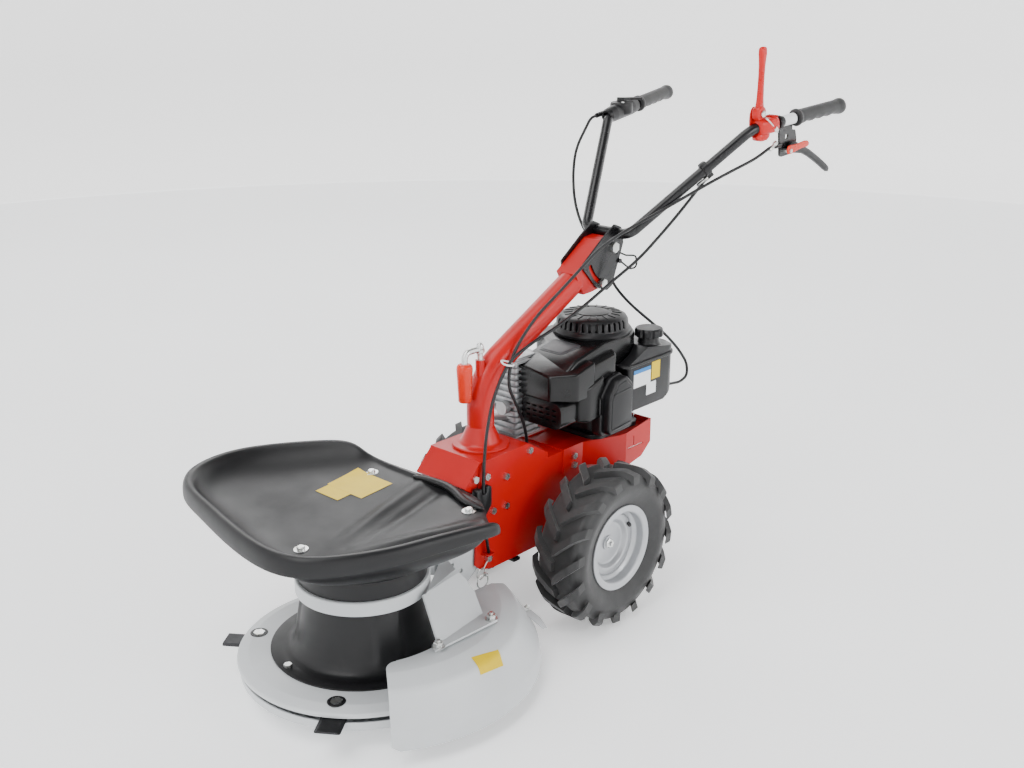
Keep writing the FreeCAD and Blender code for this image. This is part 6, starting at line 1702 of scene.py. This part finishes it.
@dataclass
class Handlebar:
    """Grips, levers and their brackets on the handlebar."""

    upper_start: Point = (187.0, 927.0, 945.0)
    upper_end: Point = (232.0, 1216.0, 975.0)
    grip_start: float = 1060.0
    grip_length: float = 156.0
    grip_radius: float = 16.0
    grip_steps: int = 26
    finger_places: tuple[float, ...] = (34.0, 62.0, 90.0, 118.0)
    finger_width: float = 9.5
    finger_depth: float = 3.4
    rib_depth: float = 0.35
    rib_pitch: float = 9.7
    blade_hub: Point = (189.96, 946.0, 974.97)
    bracket_y: float = 968.0
    bracket_rib_reaches: tuple[float, ...] = (12.0, 17.5, 23.0)
    ear_x: float = 177.2
    clutch_pivot: Point = (211.6, 1060.0, 895.0)
    safety_pivot: Point = (219.8, 1027.0, 894.0)
    throttle_foot: Point = (-195.6, 984.0, 950.7)
    throttle_top: float = 971.5
    clip_middle: Point = (137.2, 838.1, 867.9)
    clip_run: Point = (0.295, 0.527, -0.7975)

    def run(self, side: int) -> Vector:
        """Give the direction of one side's upper run, towards the grip.

        Args:
            side: 1 for the left run, -1 for the right one.

        Returns:
            The direction, of length one.
        """
        start, end = Vector(self.upper_start), Vector(self.upper_end)
        along = (end - start).normalized()
        return Vector((side * along.x, along.y, along.z))

    def bar_place(self, side: int, y: float) -> Vector:
        """Find the point of one side's upper run at a distance behind the drum.

        Args:
            side: 1 for the left run, -1 for the right one.
            y: The distance.

        Returns:
            The point.
        """
        start = Vector((side * self.upper_start[0], self.upper_start[1], self.upper_start[2]))
        along = self.run(side)
        return start + along * ((y - start.y) / along.y)

    def sleeve(
        self, name: str, side: int, y: float, stations: Sequence[tuple[float, float]],
    ) -> bpy.types.Object:
        """A piece turned on the bar.

        Args:
            name: The piece's name.
            side: 1 for the left run, -1 for the right one.
            y: Where its foot stands.
            stations: Radius and height, from the foot up.

        Returns:
            The piece.
        """
        return shade(turned(name, stations, tuple(self.bar_place(side, y)), tuple(self.run(side)), 40), 45)

    def build(self) -> None:
        """Model all that the hands and fingers touch, and what carries it."""
        self.build_grips()
        self.build_blade_lever()
        self.build_bracket()
        self.build_clutch_side()
        self.build_throttle()
        self.build_adjusters()

    def build_grips(self) -> None:
        """Model the rubber grips, and the band and collar beside the left one."""
        for name, side in (("left", 1), ("right", -1)):
            grip = self.sleeve(f"rubber_grip_{name}", side, self.grip_start, self.grip_profile())
            self.press_fingers(grip, side)
            dress(grip, Finish.GRIP, "handlebar", [f"grip_{name}"])
        band = self.sleeve("bar_band", 1, 1019, [(11.2, 0), (11.5, 0.2), (11.5, 36.5), (11.2, 36.7)])
        dress(band, Finish.WHITE_FILM, "handlebar")
        collar = self.sleeve("bar_collar", 1, 1002, [
            (11.2, 0), (13.8, 0.8), (14.2, 2), (14.2, 9), (13.4, 11), (11.2, 11.4),
        ])
        dress(collar, Finish.SATIN_ABS, "handlebar")

    def grip_profile(self) -> list[tuple[float, float]]:
        """Give the profile of a grip: a flange, a long even body and a rounded bead.

        Returns:
            Radius and height of each station.
        """
        long, radius, steps = self.grip_length, self.grip_radius, self.grip_steps
        start, end = 11, long - 19
        flange = [(11.2, 0), (17.2, 0.4), (18.6, 2.4), (18.6, 5.4), (16.4, 8), (radius - 0.6, start)]
        body = [(radius - 0.4, start + (end - start) * step / steps) for step in range(1, steps + 1)]
        bead = [(17.0, long - 14), (17.4, long - 9), (16.6, long - 4), (13.6, long - 0.8), (6.0, long)]
        return flange + body + bead

    def press_fingers(self, grip: bpy.types.Object, side: int) -> None:
        """Press the finger valleys into a grip's lower side and fine ribs into the rest.

        Args:
            grip: The grip.
            side: 1 for the left grip, -1 for the right one.
        """
        foot, along = self.bar_place(side, self.grip_start), self.run(side)
        for vertex in grip.data.vertices:
            spot = vertex.co / MM - foot
            reach = spot.dot(along)
            out = spot - along * reach
            if not 12 < reach < self.grip_length - 16 or out.length < 1:
                continue
            out.normalize()
            below = max(0.0, -out.z)
            dip = sum(math.exp(-((reach - place) / self.finger_width) ** 2) for place in self.finger_places)
            rib = self.rib_depth * math.cos(2 * math.pi * reach / self.rib_pitch) * (1 - below)
            vertex.co -= out * (self.finger_depth * dip * below ** 1.5 - rib) * MM

    def build_blade_lever(self) -> None:
        """Model the blade lever: a round hub and a waisted arm with a broad rounded head."""
        x, y, z = self.blade_hub
        hub = turned("hub", [
            (13.0, -8.6), (15.4, -7.4), (16.2, -5), (16.2, 5), (15.4, 7.4), (13.0, 8.6),
        ], self.blade_hub, (1, 0, 0))
        arm = limb("arm", [
            (x, y, z + rise, wide, thick) for rise, wide, thick in (
                (-2, 12, 7), (8, 11.4, 7.2), (20, 8.6, 6.8), (32, 7.0, 6.4), (55, 6.2, 6.0), (78, 6.2, 5.8),
                (97, 7.0, 5.9), (109, 8.6, 6.2), (119, 10.6, 6.3), (126.5, 11.0, 6.1), (131, 9.4, 5.6),
                (133.6, 5.4, 4.0),
            )
        ], (0, 1, 0), 32, 3.0)
        lever = join("blade_lever_arm", [hub, arm])
        dress(shade(lever, 50), Finish.RED_NYLON, "blade_lever", ["blade_lever"])
        plated("blade_lever_screw", [
            (3, 8), (6.5, 8.4), (7.2, 9.4), (7.2, 11.6), (5.8, 13), (2, 13.6),
        ], self.blade_hub, (1, 0, 0), 32, "handlebar")

    def build_bracket(self) -> None:
        """Model the moulded bracket that carries the blade lever, and the cable's steel rod."""
        middle, along, across = self.bar_place(1, self.bracket_y), self.run(1), (1, 0, 0)
        saddle = limb("saddle", [
            (*(middle + along * reach + Vector((0, 0, lift))), wide, tall) for reach, lift, wide, tall in (
                (-30, 1, 10.0, 8.0), (-28, 1, 15.6, 14.2), (-24, 1, 17.6, 16.4), (0, 0, 17.6, 16.6),
                (20, 0, 17.4, 16.4), (26, 0, 15.8, 15.0), (29, 0, 12.0, 11.4),
            )
        ], across, 32, 3.4)
        low = limb("low", [
            (*(self.bar_place(1, y) + Vector((0, 0, drop))), wide, tall) for y, drop, wide, tall in (
                (938, -14, 7.0, 6.0), (942, -17, 11.0, 9.6), (954, -20, 12.0, 10.0), (964, -20, 11.6, 9.4),
                (972, -17, 9.0, 7.6), (977, -15, 5.0, 5.0),
            )
        ], across, 28, 2.8)
        ear = limb("ear", [
            (self.ear_x, self.blade_hub[1], z, thick, wide) for z, thick, wide in (
                (947, 2.6, 14), (962, 3.2, 15), (974, 3.2, 14.4), (983, 3.0, 11), (988.5, 2.0, 5),
            )
        ], across, 32, 2.4)
        ribs = []
        for reach in self.bracket_rib_reaches:
            foot = middle + along * reach + Vector((0, 0, 15.2))
            ribs.append(raised("rib", Plane.PLAN, [
                (foot.x + aside, foot.y + ahead, 0.8)
                for aside, ahead in ((-11, -1.2), (11, -1.2), (11, 1.2), (-11, 1.2))
            ], foot.z - 3, foot.z + 3.6, 3))
        bracket = join("lever_bracket", [saddle, low, ear, *ribs])
        dress(shade(bracket, 45), Finish.RED_NYLON, "handlebar", ["blade_lever_bracket"])
        rod = bent_rod("lever_rod", [
            (209, 944, 967), (210, 956, 960), (210, 974, 948), (209, 992, 935),
        ], 1.9)
        dress(rod, Finish.ZINC, "handlebar")
        barrel = [(4.6, -1), (5.2, 0), (5.2, 10), (4.4, 11), (2.4, 11.4)]
        plated("lever_rod_barrel", barrel, (210, 978, 945.4), (0, 0.79, -0.6), 24, "handlebar", 40)

    def build_clutch_side(self) -> None:
        """Model the clutch lever and the red safety lock beside it."""
        x, y, z = self.clutch_pivot
        lever = limb("clutch_lever_arm", [
            (x, y + back, z + up, tall, wide) for back, up, tall, wide in (
                (-22, 4, 5, 3.4), (-20, 4, 9.5, 4.4), (-10, 4, 12, 5.0), (2, 2, 12, 5.0), (18, -2, 10, 5.0),
                (34, -6, 8.4, 5.0), (58, -15, 8.0, 5.0), (84, -27, 7.8, 5.0), (112, -41, 7.6, 5.0),
                (134, -53, 7.6, 5.0), (146, -59.5, 6.8, 4.8), (151, -62, 4.4, 3.4),
            )
        ], (0, 0.3, 1), 28, 3.2)
        dress(lever, Finish.SATIN_ABS, "clutch_lever", ["clutch_lever"])
        x, y, z = self.safety_pivot
        lock = limb("safety_lock_arm", [
            (x, y + back, z + up, tall, wide) for back, up, tall, wide in (
                (-9, 2, 3, 1.6), (-6, 2, 8.4, 2.4), (4, 2.4, 9.4, 2.6), (14, 3, 8.4, 2.6),
                (26, 4.4, 7.4, 2.6), (42, 6.8, 7.0, 2.6), (58, 8.8, 7.2, 2.6), (70, 8.4, 7.0, 2.5),
                (77, 7.4, 3.6, 1.6),
            )
        ], (0, 0, 1), 24, 3.0)
        dress(lock, Finish.ORANGE_NYLON, "safety_lock", ["safety_lock"])

    def build_throttle(self) -> None:
        """Model the throttle lever's case on the right grip, and its screws."""
        case = turned("throttle_case", [
            (12, -9), (22, -8.4), (25, -6), (26, -3), (26, 14), (24.6, 18), (20, 20.4), (8, 21),
        ], self.throttle_foot)
        slice_off(case, (*self.throttle_foot[:2], self.throttle_top), (0, 0, 1))
        dress(shade(case, 40), Finish.SATIN_ABS, "handlebar")
        head = [(3.6, -1), (3.8, 0), (3.4, 1.2), (1.6, 1.7)]
        for index, (x, y) in enumerate(((-181, 970), (-210, 998))):
            plated(f"throttle_screw_{index + 1}", head, (x, y, 970.6), (0, 0, 1), 20, "handlebar")

    def build_adjusters(self) -> None:
        """Model the screwed adjusters where the cables end, and the clip that holds them together."""
        adjusters = (
            ("clutch_cable_adjuster", (203.6, 996, 912), (0.0, -0.86, -0.51)),
            ("blade_cable_adjuster", (139.1, 841.5, 849.5), (-0.3895, -0.6958, -0.6036)),
        )
        for name, foot, axis in adjusters:
            barrel = turned(name, [
                (5.6, -2), (5.9, -1), (5.9, 6), (4.2, 6.8), (4.2, 9), (4.6, 9.6), (4.6, 22), (4.0, 24),
                (3.6, 26),
            ], foot, axis, 6)
            dress(shade(soften(barrel, 0.4, 2), 25), Finish.ZINC, "handlebar")
        middle, run = Vector(self.clip_middle), Vector(self.clip_run)
        clip = limb("cable_clip", [
            (*(middle + run * reach), wide, deep) for reach, wide, deep in (
                (-17, 4, 4), (-15, 8, 8), (-6, 10, 10), (6, 10, 10), (13, 8, 8), (15, 4, 4),
            )
        ], (0.39, 0.7, 0.6), 24, 3.6)
        dress(clip, Finish.SATIN_ABS, "handlebar")


@dataclass(frozen=True)
class CableHalf:
    """One half of a cable, cut where the machine turns between two bodies."""

    name: str
    node: str
    cut_place: Point
    cut_normal: Point
    bodies: tuple[str, str]
    still: Point
    moved: Point


@dataclass
class Cables:
    """The three control cables, each cut in two halves where the column and the handlebar turn."""

    low: tuple[str, str] = ("chassis", "steering")
    high: tuple[str, str] = ("steering", "handlebar")

    def halves(self) -> list[CableHalf]:
        """Set out the halves, with the plane that parts them and a stretch listed for each one.

        Returns:
            The halves, the lower one of each cable first.
        """
        up, down = (0, 0, 1), (0, 0, -1)
        rear, front = (0, 1, 0), (0, -1, 0)
        cables = (
            (
                "throttle_cable", (0, 0, 700), (up, down),
                ((0, 0, 410), (0, 0, 700)), ((0, 0, 700), (0, 0, 900)),
            ),
            (
                "clutch_cable", (0, 560, 0), (rear, front),
                ((0, 0, 345), (0, 0, 520)), ((0, 590, 0), (0, 760, 0)),
            ),
            (
                "blade_cable", (0, 520, 0), (rear, front),
                ((0, 0, 300), (0, 0, 490)), ((0, 570, 0), (0, 760, 0)),
            ),
        )
        return [
            CableHalf(f"{node}_{part}", node, cut, beyond[index], bodies, *bends[index])
            for node, cut, beyond, *bends in cables
            for index, (part, bodies) in enumerate((("low", self.low), ("high", self.high)))
        ]

    def sheath(self, half: CableHalf) -> bpy.types.Object:
        """Model one half from the cable's own sheath.

        Args:
            half: The half.

        Returns:
            The piece, which hangs on no body.
        """
        node = bpy.data.objects[half.node]
        place = node.matrix_world.copy()
        sheath = copy_of(node, half.name)
        sheath.parent = None
        sheath.matrix_world = place
        for mark in list(sheath.keys()):
            del sheath[mark]
        merge_doubles(sheath)
        slice_off(sheath, half.cut_place, half.cut_normal)
        sheath.data.materials.clear()
        sheath.data.materials.append(Finish.SHEATH.material())
        return shade(sheath, 60)

    def build(self) -> None:
        """Model each half from its cable's sheath, settled in place; it hangs on no body and does not bend.
        """
        for half in self.halves():
            sheath = self.sheath(half)
            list(half.bodies)
            Vector(half.still) * MM
            Vector(half.moved) * MM
            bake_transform(sheath)
            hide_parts(half.node)
            LOG.info("piece %-38s %6d faces, on %s", sheath.name, len(sheath.data.polygons), half.bodies)


SUB_ASSEMBLIES = (BowlCover, CuttingHead, Hood, Engine, Wheels, Handlebar, Cables)

NODE_FINISH: dict[Finish, tuple[str, ...]] = {
    Finish.RED_COAT: ("chassis_frame", "engine_frame", "blade_lever_bracket", "steering_column"),
    Finish.WHITE_COAT: ("knife_disc", "glide_dish", "mower_frame", "guard_bracket", "swath_guard"),
    Finish.BLACK_COAT: (
        "handlebar_tube", "clamp_plates", "clutch_bracket", "cable_guides", "tension_arm", "drive_arm",
    ),
    Finish.SILVER_LACQUER: ("rim_left", "rim_right"),
    Finish.POLYETHYLENE: ("bowl_cover", "spindle_housing", "drum_skirt"),
    Finish.GLOSSY_ABS: ("air_filter_cover", "blower_housing"),
    Finish.SATIN_ABS: (
        "fuel_tank", "fuel_cap", "recoil_cover", "throttle_housing", "throttle_lever", "clutch_lever",
        "starter_grip", "muffler_guard", "engine_block",
    ),
    Finish.RED_NYLON: ("blade_lever", "lock_grip", "safety_lock"),
    Finish.TYRE: ("tyre_left", "tyre_right"),
    Finish.GRIP: ("grip_left", "grip_right"),
    Finish.BELT: ("drum_belt", "drive_belt"),
    Finish.SHEATH: ("throttle_cable", "clutch_cable", "blade_cable"),
    Finish.ZINC: ("lock_rod", "clamp_bolts", "control_pins", "drum_bolts", "frame_bolts", "coupling_pin"),
    Finish.SHAFT: ("axle_shaft", "crankshaft", "input_pulley", "spindle_shaft"),
    Finish.CASTING: ("cylinder_head", "carburettor", "gearbox_case"),
    Finish.BLADE: ("blade_1", "blade_2", "blade_3", "blade_4"),
}


def main() -> None:
    """Build the machine, one sub-assembly after the other."""
    logging.basicConfig(level=logging.INFO, format="%(name)s: %(message)s")
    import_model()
    for finish, nodes in NODE_FINISH.items():
        for node in nodes:
            coat_node(node, finish)
    for sub_assembly in SUB_ASSEMBLIES:
        LOG.info("building %s", sub_assembly.__name__)
        sub_assembly().build()
    Studio().build()


if __name__ == "__main__":
    main()
